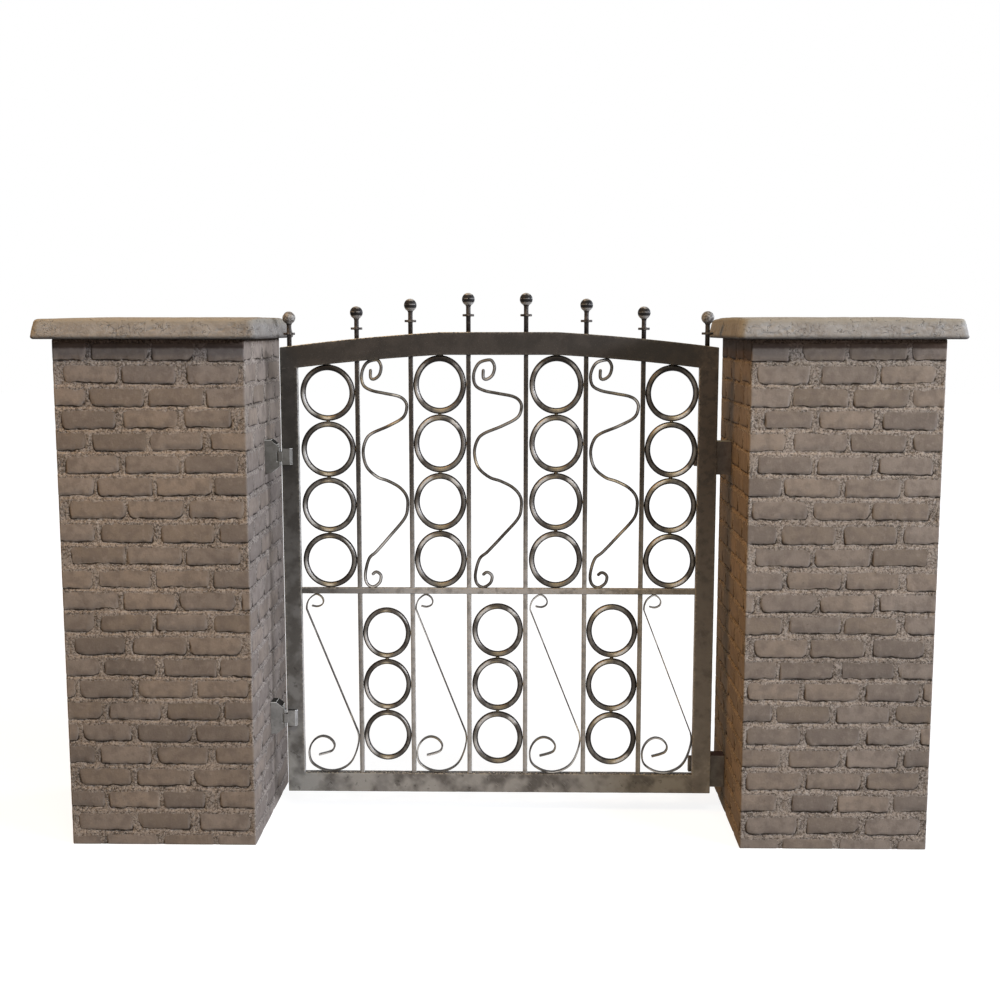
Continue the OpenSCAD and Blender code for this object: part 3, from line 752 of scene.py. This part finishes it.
def makeHardwareMaterial(name, looks, rubbed):
    # the third argument picks painted highlights: a hinge's bevels are painted bright on its slope and its
    # end, and a stop's on its left
    material, tree, place, fine, grain, patch = startMaterial(
        name, (500, 3, 0.6), (120, 3, 0.6), (24, 3, 0.6))
    across = addNode(tree, "SeparateXYZ", Vector=place).outputs[0]
    normal = addNode(tree, "TexCoord").outputs["Normal"]
    facingAcross, facingBack, facingUp = addNode(tree, "SeparateXYZ", Vector=normal).outputs
    upward = ramp(facingUp, 0.42, 0.66)
    colour = painted(mixColour(ramp(patch, 0.3, 0.7), *looks["body"]), hardwareWear,
                     stain=ramp(grain, 0.54, 0.72, 0, 0.35), speck=ramp(fine, 0.62, 0.75, 0, 0.3))
    colour = mixColour(upward, colour, looks["top"])
    if rubbed == "hinge":
        slope = times(ramp(facingUp, 0.1, 0.25), ramp(across, -0.762, -0.765))
        end = times(ramp(facingAcross, 0.25, 0.5), ramp(across, -0.725, -0.722))
        colour = painted(colour, hardwareWear, bright=larger(slope, end))
    elif rubbed == "stop":
        colour = painted(colour, hardwareWear, bright=ramp(facingAcross, -0.3, -0.6, 0, 0.4))
    roughness = larger(ramp(patch, 0.3, 0.7, 0.4, 0.55), upward)
    metallic = ramp(upward, 0.0, 1.0, 0.3, 0.0)
    finishMaterial(tree, colour, roughness, grain, 0.25, 0.8 * mm, metallic, 0.2)
    return material


frameMaterial = makeFrameMaterial(frameLooks)
ringMaterial = makeRingMaterial(ringLooks)
hardwareSteel = {}
for name, looks in hardwareLooks.items():
    hardwareSteel[name] = (makeHardwareMaterial(name + "Steel", looks, ""),
                           makeHardwareMaterial(name + "Edges", looks, name.split("_")[1]))

# leaf frame

leafWork = {
    "archFlat": 0.2,
    "archSlope": math.tan(math.radians(3.3)),
    "archRise": 0.052,
    "frameRound": 2.5 * mm,
    "barRound": 2.4 * mm,
    "step": 14 * mm,
    "support": (1.2 * mm, 3.5 * mm, 8 * mm),
    "wearReach": 3 * mm,
    "nick": 0.5 * mm,
    "nickSize": 16 * mm,
    "buried": (3 * mm, 7.5 * mm, 10.5 * mm),
    "sink": 0.6 * mm,
    "tuck": 10 * mm,
    "barTuck": (3 * mm, 4 * mm),
}
frameRound, barRound, tuck = [leafWork[k] for k in ("frameRound", "barRound", "tuck")]
railLow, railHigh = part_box("top_rail")
halfLeaf = (railHigh[0] - railLow[0]) / 2
railThick = railHigh[2] - leafWork["archRise"] - railLow[2]
archRun = halfLeaf - leafWork["archFlat"]
archBend = (leafWork["archRise"] - leafWork["archSlope"] * archRun) / archRun ** 2


def railTop(x):
    # level in the middle, then falls by slope * p + bend * p^2, where p is how far x is past the level part
    past = np.maximum(0, np.abs(x) - leafWork["archFlat"])
    return railHigh[2] - leafWork["archSlope"] * past - archBend * past ** 2


def bevelledProfile(halfU, halfV, rounding):
    # a rectangle shrunk by the rounding, and for each place the direction that its edge is carried out in
    core, away, wear = [], [], []
    corners = np.array(((1, 1), (-1, 1), (-1, -1), (1, -1))) * (halfU - rounding, halfV - rounding)
    for k, start in enumerate(corners):
        end = corners[(k + 1) % 4]
        for t in np.linspace(0, math.pi / 2, 4):
            core.append(start)
            away.append((math.cos(k * math.pi / 2 + t), math.sin(k * math.pi / 2 + t)))
            wear.append(1.0)
        length = np.linalg.norm(end - start)
        near = [v for v in leafWork["support"] if v < length * 0.45]
        for v in near + [length / 2] + [length - v for v in near[::-1]]:
            core.append(start + (end - start) * v / length)
            away.append((math.cos((k + 1) * math.pi / 2), math.sin((k + 1) * math.pi / 2)))
            wear.append(math.exp(-min(v, length - v) / leafWork["wearReach"]))
    return np.array(core), np.array(away), np.array(wear)


def quarterRound(toEnd, rounding):
    # how far out the rounded end of a bar stands: r * sqrt(1 - (1 - d / r)^2) at the distance d from the end
    return rounding * np.sqrt(1 - np.clip(1 - toEnd / rounding, 0, 1) ** 2)


def barSurface(length, halfU, halfV, rounding, rounded, seed):
    # the profile carried along the bar, drawn in along a quarter circle at each rounded end, and sunk where
    # an end is buried in another bar; the edges are nicked by noise; gives places as along, u, v
    a = np.linspace(0, math.pi / 2, 4)
    curve = np.concatenate([rounding * (1 - np.cos(a)), [rounding + v for v in leafWork["support"]]])
    buried = np.array([0.0, *leafWork["buried"]])
    first, last = [curve if isRound else buried for isRound in rounded]
    last = length - last[::-1]
    middle = np.linspace(0, length, max(2, int(length / leafWork["step"])) + 1)[1:-1]
    middle = middle[(middle > first[-1] + 1 * mm) & (middle < last[0] - 1 * mm)]
    along = np.concatenate([first, middle, last])
    core, away, wear = bevelledProfile(halfU, halfV, rounding)
    out, sunk, endWear = np.full(len(along), rounding), np.zeros(len(along)), np.zeros(len(along))
    for isRound, toEnd in zip(rounded, (along, length - along)):
        if isRound:
            out = np.minimum(out, quarterRound(toEnd, rounding))
            endWear = np.maximum(endWear, np.exp(-np.maximum(0, toEnd - rounding) / leafWork["wearReach"]))
        else:
            sunk = np.maximum(sunk, smoothStep(leafWork["buried"][1], leafWork["buried"][0], toEnd))
    s, u, v = np.broadcast_arrays(along[:, None], *(core + away * rounding).T[:, None])
    nick = np.maximum(0, layeredNoise(np.stack([s, u, v], axis=-1), leafWork["nickSize"], seed, 2))
    out = out[:, None] - nick * leafWork["nick"] * wear - leafWork["sink"] * sunk[:, None]
    u, v = core.T[:, None] + away.T[:, None] * np.maximum(out, 0)
    return s, u, v, np.maximum(wear, endWear[:, None]), away


def makeFramePart(name, node, places, rounding, fields):
    # the values that a part doesn't have are 0
    none = dict.fromkeys(("upFacing", "sideFacing", "sooty", "rim", "leftPart"), 0.0)
    fields = {**none, **fields, "slender": float(rounding < frameRound)}
    surface = withPoles(np.stack(places, axis=-1), fields)
    makePiece(name, [surface], frameMaterial, "gate", [node])


def makeUpright(name, node, rounding, overlap, seed):
    # an upright bar whose top follows the arch's underside; its ends run on into the rails by the overlap
    low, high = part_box(node)
    middle, half = (low + high) / 2, (high - low) / 2
    foot = low[2] - overlap[0]
    length = high[2] - foot
    s, u, v, edge, away = barSurface(length, half[0], half[1], rounding, (overlap[0] == 0, False), seed)
    x = middle[0] + u
    top = railTop(x) - railThick + overlap[1]
    fields = {"edgeWear": edge * 0.75, "sideFacing": np.abs(away[:, 0])}
    if rounding < frameRound:
        fields["leftPart"] = -u / half[0]
    makeFramePart(name, node, (x, middle[1] + v, foot + s / length * (top - foot)), rounding, fields)


def makeRail(name, node, rounding, overlap, seed, looks):
    # a rail side to side; the top one is carried along the arch; looks give its top soot and a rubbed rim
    low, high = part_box(node)
    length = high[0] - low[0] + 2 * overlap
    arched = node == "top_rail"
    halfHeight = railThick / 2 if arched else (high[2] - low[2]) / 2
    s, u, v, edge, away = barSurface(length, (high[1] - low[1]) / 2 - looks["thinner"], halfHeight, rounding,
                                     (overlap == 0, overlap == 0), seed)
    x = low[0] - overlap + s
    middle = railTop(x) - railThick / 2 if arched else (low[2] + high[2]) / 2
    up = away[:, 1]
    rim = looks["rim"] * smoothStep(0.25, 0.7, up) * smoothStep(0.05, -0.25, x)
    fields = {"edgeWear": edge * (0.6 + 0.4 * up), "upFacing": np.maximum(up, 0), "rim": rim,
              "sooty": looks["soot"]}
    makeFramePart(name, node, (x, (low[1] + high[1]) / 2 + u, middle + v), rounding, fields)


railLooks = {
    "top": {"soot": 0.0, "rim": 1.0, "thinner": 0},
    "middle": {"soot": 0.0, "rim": 0.0, "thinner": 0.3 * mm},
    "bottom": {"soot": 1.0, "rim": 0.0, "thinner": 0},
}
makeRail("archedTopRail", "top_rail", frameRound, 0, 3, railLooks["top"])
makeRail("flatMiddleRail", "middle_rail", barRound, tuck, 7, railLooks["middle"])
makeRail("lowBottomRail", "bottom_rail", frameRound, tuck, 9, railLooks["bottom"])
makeUpright("hingeSideStile", "hinge_stile", frameRound, (0, tuck), 13)
makeUpright("freeSideStile", "free_stile", frameRound, (0, tuck), 17)
for k in range(1, 7):
    makeUpright("uprightBar" + str(k), "bar_" + str(k), barRound, leafWork["barTuck"], 20 + k)
print("leaf frame welded")

# rings

ringWork = {
    "stepsAlong": 96,
    "stepsRound": 20,
    "upper": {"count": 4, "gap": 1 * mm, "bar": (19.6 * mm,) * 4},
    "lower": {"count": 3, "gap": 2.5 * mm, "bar": (17.6 * mm, 19.6 * mm, 19.6 * mm)},
    "weld": 4.5 * mm,
    "weldFields": {"crown": 0.9, "rubbed": 0.0, "tarnish": 0.8},
}


def bell(angle, at, spread):
    # a bell round one angle: e^-(turn / spread)^2, with the turn in degrees between -180 and 180
    turn = (np.degrees(angle) - at + 180) % 360 - 180
    return np.exp(-(turn / spread) ** 2)


def rubbedFields(crown, a, outward, side, sheltered):
    # where a ring gets painted highlights: silver glints on its shoulders, gold glints at top and foot; they
    # sit further round on the rings nearer the stop side, as the lamps' reflections move; a ring shaded by the
    # rail over it gets painted shade at its top
    if side < -0.3:
        silver = 0.9 * bell(a, 208, 34) * (outward < 0.4) + 0.8 * bell(a, 40, 20) * (outward > 0)
        yellow = 0.9 * bell(a, 92, 20) * (outward < 0.3) + bell(a, 268, 24) * (outward < 0.5)
    elif side < 0.3:
        silver = 0.9 * bell(a, 130, 24) + 0.8 * bell(a, 50, 16) + 0.6 * bell(a, 200, 26)
        yellow = 0.8 * bell(a, 100, 22) * (outward < 0.3) + 0.8 * bell(a, 275, 28) * (outward < 0.5)
    else:
        silver = 0.8 * bell(a, 118, 18) * (outward > -0.2) + 0.9 * bell(a, 300, 20) * (outward < 0.4)
        yellow = bell(a, 122, 40) * (outward > -0.5) + bell(a, 288, 34) * (outward < 0.6)
    # painted shade at the top of a ring under the rail
    dark = sheltered * bell(a, 90, 42)
    clear = 1 - dark
    return {"crown": crown * (1 - 0.35 * dark), "rubbed": silver * clear, "tarnish": yellow * clear}


def ringSurface(centre, width, height, bar, sheltered):
    # a circle carried round a circle, and the whole drawn taller to the ring's height
    a = np.append(around(ringWork["stepsAlong"]), 2 * math.pi)[:, None]
    b = around(ringWork["stepsRound"])
    r = bar / 2
    reach = width / 2 - r + r * np.cos(b)
    places = np.broadcast_arrays(centre[0] + reach * np.cos(a), centre[1] + r * np.sin(b),
                                 centre[2] + reach * np.sin(a) * height / width)
    fields = rubbedFields(np.abs(np.sin(b)), a, np.cos(b), centre[0], sheltered)
    return np.stack(places, axis=-1), fields


def weldBlob(centre, size, seed):
    # a small ball of weld metal: a sphere squeezed to its size and made uneven by noise
    a = np.linspace(0, math.pi, 7)[1:-1, None]
    b = around(10)
    ball = np.stack(np.broadcast_arrays(np.sin(a) * np.cos(b), np.sin(a) * np.sin(b), np.cos(a)), axis=-1)
    ball = ball * (1 + 0.22 * latticeNoise(ball, 0.7, seed)[..., None])
    return withPoles(np.array(centre) + ball * np.array(size), ringWork["weldFields"])


def makeRingColumn(row, k, setup):
    # the rings stand on each other, welded to the bar at their right, to the next ring and to the rails
    node = row + "_ring_column_" + str(k)
    low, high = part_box(node)
    count, gap = setup["count"], setup["gap"]
    width = high[0] - low[0]
    height = (high[2] - low[2] - (count - 1) * gap) / count
    x, y = (low[0] + high[0]) / 2, (low[1] + high[1]) / 2
    w = ringWork["weld"]
    surfaces = []
    for n in range(count):
        z = low[2] + height / 2 + n * (height + gap)
        isTop = n == count - 1
        joins = [((high[0], y, z), (w * 0.5, w, w * 1.2))]
        if not isTop:
            joins.append(((x, y, z + height / 2 + gap / 2), (w * 1.5, w * 1.9, gap / 2 + w * 0.3)))
        if row == "upper" and isTop:
            joins.append(((x, y, z + height / 2), (w * 3, w * 1.8, w * 0.3)))
        if row == "upper" and n == 0:
            joins.append(((x, y, z - height / 2), (w * 2.2, w, w * 0.3)))
        surfaces.append(ringSurface((x, y, z), width, height, setup["bar"][k - 1], row == "upper" and isTop))
        surfaces += [weldBlob(place, size, 40 + n) for place, size in joins]
    makePiece("rings_" + node, surfaces, ringMaterial, "gate", [node])


for k in range(1, 5):
    makeRingColumn("upper", k, ringWork["upper"])
for k in range(1, 4):
    makeRingColumn("lower", k, ringWork["lower"])
print("rings bent")

# scrolls

scrollWork = {
    "waveHalf": 6 * mm,
    "wornHalf": 5.6 * mm,
    "curlHalf": 3 * mm,
    "curlHalfWidth": 8 * mm,
    "curlRound": 1.5 * mm,
    "step": 3 * mm,
    "around": 14,
    "rubbed": 1.6,
    "rubSize": 70 * mm,
    "buried": (4 * mm, 6 * mm),  # how far the waves run into the rails below and above
    "thickAt": (0, 0.12, 0.2, 0.5, 0.6, 1),  # share of the strip's length
    "thick": (0.6, 0.6, 0.4, 0.4, 0.9, 1),
}

# bent outlines: across from -1 to 1 and up from 0 to 1
waveBends = np.array((
    (-0.592, 0.961), (-0.592, 0.923), (-0.433, 0.917), (-0.215, 0.934), (-0.126, 0.966), (-0.196, 0.99),
    (-0.354, 1), (-0.77, 0.986), (-0.988, 0.941), (-0.929, 0.892), (-0.572, 0.868), (0.022, 0.855),
    (0.607, 0.843), (0.894, 0.825), (0.993, 0.795), (0.825, 0.751), (0.191, 0.714), (-0.562, 0.681),
    (-0.849, 0.65), (-0.968, 0.596), (-0.81, 0.533), (-0.354, 0.49), (0.131, 0.472), (0.636, 0.444),
    (0.943, 0.406), (0.993, 0.36), (0.854, 0.307), (0.191, 0.228), (-0.414, 0.16), (-0.76, 0.127),
    (-0.939, 0.06), (-0.879, 0.017), (-0.612, 0), (-0.315, 0.018), (-0.235, 0.048), (-0.354, 0.064),
    (-0.493, 0.066), (-0.641, 0.053)))
headBends = np.array((
    (-0.79, 0.937), (-0.57, 0.932), (-0.38, 0.943), (-0.33, 0.965), (-0.42, 0.988), (-0.62, 1),
    (-0.87, 0.976), (-0.98, 0.945), (-1, 0.918)))
footBends = np.array((
    (0.97, 0.226), (1, 0.18), (0.9, 0.116), (0.69, 0.054), (0.37, 0.017), (-0.07, 0), (-0.52, 0.011),
    (-0.9, 0.048), (-1, 0.1), (-0.93, 0.147), (-0.74, 0.182), (-0.49, 0.198), (-0.24, 0.192),
    (-0.06, 0.172), (0.02, 0.146), (-0.05, 0.12), (-0.24, 0.106), (-0.61, 0.092)))


def smoothPath(bends):
    # each stretch is the cubic whose end slopes run along its neighbours:
    # (2b + (c - a)t + (2a - 5b + 4c - d)t^2 + (3b - a - 3c + d)t^3) / 2
    ends = np.concatenate([bends[:1], bends, bends[-1:]])
    a, b, c, d = ends[:-3, None], ends[1:-2, None], ends[2:-1, None], ends[3:, None]
    t = (np.arange(10) / 10)[None, :, None]
    path = 2 * b + (c - a) * t + (2 * a - 5 * b + 4 * c - d) * t ** 2 + (3 * b - a - 3 * c + d) * t ** 3
    return np.concatenate([path.reshape(-1, 2) / 2, bends[-1:]])


def placesAt(lengths, known, path):
    return np.stack([np.interp(lengths, known, path[:, 0]), np.interp(lengths, known, path[:, 1])], axis=1)


def fittedPath(path, low, high, rounding):
    # the path stretched to fill the leaf's plane from low to high, with places at even steps along it and a
    # few more close to both ends, where the profile closes; gives the places and how far along each lies
    path = path - path.min(axis=0)
    path = low + path / path.max(axis=0) * (high - low)
    lengths = np.concatenate([[0], np.cumsum(np.linalg.norm(np.diff(path, axis=0), axis=1))])
    s = np.linspace(0, lengths[-1], int(lengths[-1] / scrollWork["step"]) + 1)
    path = placesAt(s, lengths, path)
    extra = rounding * np.array([0.1, 0.35, 0.7])
    t = np.unique(np.concatenate([s, extra, s[-1] - extra]))
    return placesAt(t, s, path), t


def bentSurface(path, s, y, core, away, rounding, thick):
    # a profile of core places and outward directions carried along the path: its first axis lies across the
    # path in the leaf's plane, its second runs front to back; both ends are drawn in along a quarter circle
    slope = np.gradient(path, axis=0)
    slope = slope / np.linalg.norm(slope, axis=1)[:, None]
    out = quarterRound(np.minimum(s, s[-1] - s), rounding)[:, None]
    u = core[:, 0] * thick[:, None] + away[:, 0] * out
    v = core[:, 1] + away[:, 1] * out
    grid = np.stack([path[:, :1] - slope[:, 1:] * u, y + v, path[:, 1:] + slope[:, :1] * u], axis=-1)
    rub = scrollWork["rubbed"] * layeredNoise(grid, scrollWork["rubSize"], 91, 2)
    return withPoles(grid, {"crown": np.abs(away[:, 1]), "rubbed": rub, "tarnish": -rub})


def makeScroll(name, node, path, half, buried, profile, rounding, shares, thick):
    # half is half the bar's thickness; thick gives the profile's thickness at each share of the length
    low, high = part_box(node)
    path, s = fittedPath(path, np.array([low[0] + half, low[2] + half - buried[0]]),
                         np.array([high[0] - half, high[2] - half + buried[1]]), profile[2])
    thick = np.interp(s / s[-1], shares, thick)
    surface = bentSurface(path, s, (low[1] + high[1]) / 2, *profile[:2], rounding, thick)
    makePiece(name, [surface], ringMaterial, "gate", [node])


turns = around(scrollWork["around"])
roundBar = np.stack([np.cos(turns), np.sin(turns)], axis=1)
waveHalf, curlHalf, curlRound = [scrollWork[k] for k in ("waveHalf", "curlHalf", "curlRound")]
waveProfile = (0 * roundBar, roundBar, waveHalf)
curlProfile = (*bevelledProfile(curlHalf, scrollWork["curlHalfWidth"], curlRound)[:2], curlRound)
wavePath = smoothPath(waveBends)
curlPath = np.concatenate([smoothPath(headBends), smoothPath(footBends)])
for k in range(1, 4):
    makeScroll("waveScroll" + str(k), "wave_scroll_" + str(k), wavePath, waveHalf, scrollWork["buried"],
               waveProfile, scrollWork["wornHalf"], (0, 1), (1, 1))
for k in range(1, 5):
    makeScroll("curledStrip" + str(k), "s_scroll_" + str(k), curlPath, curlHalf, (0, 0), curlProfile,
               curlRound, scrollWork["thickAt"], scrollWork["thick"])
print("scrolls curled")

# finials

finialWork = {
    "ball": 22 * mm,
    "stem": 8 * mm,
    "collar": 20 * mm,
    "thick": 8 * mm,
    "lip": 1.4 * mm,
    "drop": 80 * mm,
    "neck": 7 * mm,
    "around": 40,
    "lumpSize": 15 * mm,
    "lumpy": {1: 0.16},  # the first finial's ball is the most uneven
    "lumpyElse": 0.035,
    "pale": (1, 8),
}
finialLooks = {
    "pale": ((0.22, 0.205, 0.182), (0.46, 0.435, 0.4)),
    "ball": ((0.005, 0.004, 0.004), (0.016, 0.014, 0.013)),
    "mottled": ((0.085, 0.075, 0.066), (0.25, 0.235, 0.21)),
    "stem": ((0.018, 0.014, 0.012), (0.06, 0.052, 0.045)),
    "collarEdge": (0.16, 0.14, 0.12),
}


def finialSurface(low, high, seed, pale, lumpy):
    # a profile of radius against height turned round an upright axis; noise makes the ball lumpy
    ball, stem, collar, thick, lip = [finialWork[k] for k in ("ball", "stem", "collar", "thick", "lip")]
    ballMiddle = high[2] - ball
    foot = high[2] - finialWork["drop"]
    neckLow = ballMiddle - ball - finialWork["neck"] / 2
    section = np.array((
        (stem, low[2] - 4 * mm), (stem, foot - 1.5 * mm), (stem + 1.2 * mm, foot), (collar - lip, foot),
        (collar - 0.3 * lip, foot + 0.3 * lip), (collar, foot + lip), (collar, foot + thick - lip),
        (collar - 0.3 * lip, foot + thick - 0.3 * lip), (collar - lip, foot + thick),
        (stem + 1.2 * mm, foot + thick), (stem, foot + thick + 1.5 * mm), (stem, neckLow - 1 * mm),
        (stem, neckLow + 0.5 * mm), (ball / 2 - 1 * mm, neckLow + finialWork["neck"] * 0.8)))
    a = np.linspace(-math.acos(0.5), math.pi / 2 - 0.12, 18)
    radius = np.concatenate([section[:, 0], ball * np.cos(a)])[:, None]
    height = np.concatenate([section[:, 1], ballMiddle + ball * np.sin(a)])[:, None]
    onBall = (np.arange(len(radius)) >= len(section))[:, None].astype(float)
    b = around(finialWork["around"])
    unit = np.stack(np.broadcast_arrays(np.cos(b) * radius, np.sin(b) * radius, height), axis=-1)
    lump = 1 - lumpy * onBall * np.maximum(0, layeredNoise(unit, finialWork["lumpSize"], seed, 2))
    x = (low[0] + high[0]) / 2 + unit[..., 0] * lump
    y = (low[1] + high[1]) / 2 + unit[..., 1] * lump
    return withPoles(np.stack([x, y, unit[..., 2]], axis=-1), {
        "ballHeight": onBall * (height - ballMiddle) / ball,
        "onBall": onBall,
        "paleBall": pale,
        "collarWear": np.exp(-np.maximum(0, collar - radius) / (2 * mm)),
    })


def makeFinialMaterial(looks):
    material, tree, place, fine, grain = startMaterial(
        "wornBallSteel", (500, 3, 0.6), (130, 4, 0.6))
    up = field(tree, "ballHeight")
    shaken = timesPlus(minus(grain, 0.5), 0.5, up)
    # painted reflection: the near black ball is painted pale over its top and its foot, with a pale line round
    # its middle, as the reflections of bright surroundings above and below
    pale = mixColour(ramp(grain, 0.35, 0.65), *looks["pale"])
    ball = mixColour(ramp(grain, 0.4, 0.6), *looks["ball"])
    line = times(ramp(awayFrom(up, 0.12), 0.1, 0.03, 0, 0.4), ramp(grain, 0.42, 0.55))
    for share in (ramp(shaken, 0.62, 0.86, 0, 0.8), ramp(shaken, -0.34, -0.56, 0, 0.95), line):
        ball = mixColour(share, ball, pale)
    mottled = mixColour(ramp(grain, 0.42, 0.6), *looks["mottled"])
    ball = mixColour(field(tree, "paleBall"), ball, mottled)
    stem = mixColour(ramp(grain, 0.4, 0.65), *looks["stem"])
    edge = times(field(tree, "collarWear"), ramp(grain, 0.45, 0.6, 0.0, 0.5))
    stem = mixColour(edge, stem, looks["collarEdge"])
    colour = mixColour(field(tree, "onBall"), stem, ball)
    height = timesPlus(grain, 0.6, times(fine, 0.3))
    finishMaterial(tree, colour, ramp(grain, 0.3, 0.7, 0.5, 0.66), height, 0.35, 1 * mm, 0.25, 0.14)
    return material


finialMaterial = makeFinialMaterial(finialLooks)
for k in range(1, 9):
    node = "finial_" + str(k)
    pale = float(k in finialWork["pale"])
    surface = finialSurface(*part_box(node), 60 + k, pale, finialWork["lumpy"].get(k, finialWork["lumpyElse"]))
    makePiece("ballFinial" + str(k), [surface], finialMaterial, "gate", [node])
print("finials turned")

# hinges and stops keep their shape, and get rounded edges painted bright as highlights

hardwareWork = {
    "edge": 2.8 * mm,
    "pinEdge": 0.8 * mm,
    "segments": 3,
    "angle": math.radians(30),
    "weldReach": 0.01 * mm,
}
for node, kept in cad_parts.items():
    kind = "_".join(node.split("_")[:2])
    if kind not in hardwareSteel:
        continue
    kept.data.materials.clear()
    for material in hardwareSteel[kind]:
        kept.data.materials.append(material)
    weld = kept.modifiers.new("weld", "WELD")
    weld.merge_threshold = hardwareWork["weldReach"]
    bevel = kept.modifiers.new("edges", "BEVEL")
    bevel.width = hardwareWork["pinEdge" if node.endswith("_pin") else "edge"]
    bevel.segments = hardwareWork["segments"]
    bevel.limit_method = "ANGLE"
    bevel.angle_limit = hardwareWork["angle"]
    bevel.material = 1
    bevel.harden_normals = False
print("hinges finished")

# floor, world and lamps

stageSetup = {
    "floorSize": 60,
    "floorLevel": -0.5 * mm,
    "floorGrey": 0.26,
    "floorGlow": (0.88, 1.0),
    "glowReach": (2.5, 7.0),
    "white": (1.0, 1.0, 1.0),
    "ambient": 0.1,
    "aim": (0.0, 0.0, 0.9),
}

# each lamp: how far round from the front, how high, how far off, its size, power and colour
lamps = {
    "coolSideLamp": (66, 16, 12, (7.0, 1.2), 2040, (0.786, 0.85, 1.0)),
    "warmSideLamp": (-60, 52, 6, (4.5, 1.2), 222, (1.0, 0.56, 0.2)),
    "highFrontLamp": (8, 55, 7, (2.0, 1.2), 158, (1.0, 1.0, 0.84)),
    "coolBackLamp": (115, 16, 12, (5.0, 1.2), 900, (0.8, 0.86, 1.0)),
}


def seenPlainly(tree):
    # 1 for rays from the camera, a gloss or a clear body, and 0 for the light that falls on things
    rays = addNode(tree, "LightPath").outputs
    return larger(larger(rays["Is Camera Ray"], rays["Is Glossy Ray"]), rays["Is Transmission Ray"])


def makeFloor(setup):
    mesh = bpy.data.meshes.new("floor")
    half, level = setup["floorSize"] / 2, setup["floorLevel"]
    corners = [(-half, -half, level), (half, -half, level), (half, half, level), (-half, half, level)]
    mesh.from_pydata(corners, [], [(0, 1, 2, 3)])
    material, tree, place = startMaterial("paleFloor")
    diffuse = addNode(tree, "BsdfDiffuse", Color=[setup["floorGrey"]] * 3)
    away = addNode(tree, "VectorMath", {"operation": "LENGTH"}, Vector=place).outputs["Value"]
    paler = ramp(away, *setup["glowReach"], *setup["floorGlow"])
    glow = addNode(tree, "Emission", Color=setup["white"], Strength=times(seenPlainly(tree), paler))
    both = addNode(tree, "AddShader")
    feed(both.inputs, (diffuse.outputs[0], glow.outputs[0]))
    addNode(tree, "OutputMaterial", Surface=both.outputs[0])
    mesh.materials.append(material)
    floor = bpy.data.objects.new("floor", mesh)
    scene.collection.objects.link(floor)


def makeWorld(setup):
    world = bpy.data.worlds.new("studio")
    world.use_nodes = True
    tree = world.node_tree
    tree.nodes.clear()
    strength = ramp(seenPlainly(tree), 0, 1, setup["ambient"], 1.0)
    background = addNode(tree, "Background", Color=setup["white"], Strength=strength)
    addNode(tree, "OutputWorld", Surface=background.outputs[0])
    scene.world = world


def makeLamp(name, aim, setup):
    # the lamp stands round and above the aim by its two angles, and points back at it
    turn, lift, away, size, power, colour = setup
    turn, lift = math.radians(turn), math.radians(lift)
    data = bpy.data.lights.new(name, "AREA")
    data.shape = "RECTANGLE"
    data.size, data.size_y = size
    data.energy = power
    data.color = colour
    lamp = bpy.data.objects.new(name, data)
    flat, rise = away * math.cos(lift), away * math.sin(lift)
    lamp.location = (aim[0] + flat * math.sin(turn), aim[1] - flat * math.cos(turn), aim[2] + rise)
    lamp.rotation_euler = (math.pi / 2 - lift, 0, turn)
    scene.collection.objects.link(lamp)


makeFloor(stageSetup)
makeWorld(stageSetup)
for name, setup in lamps.items():
    makeLamp(name, stageSetup["aim"], setup)
scene.view_settings.view_transform = "Standard"
print("stage set")
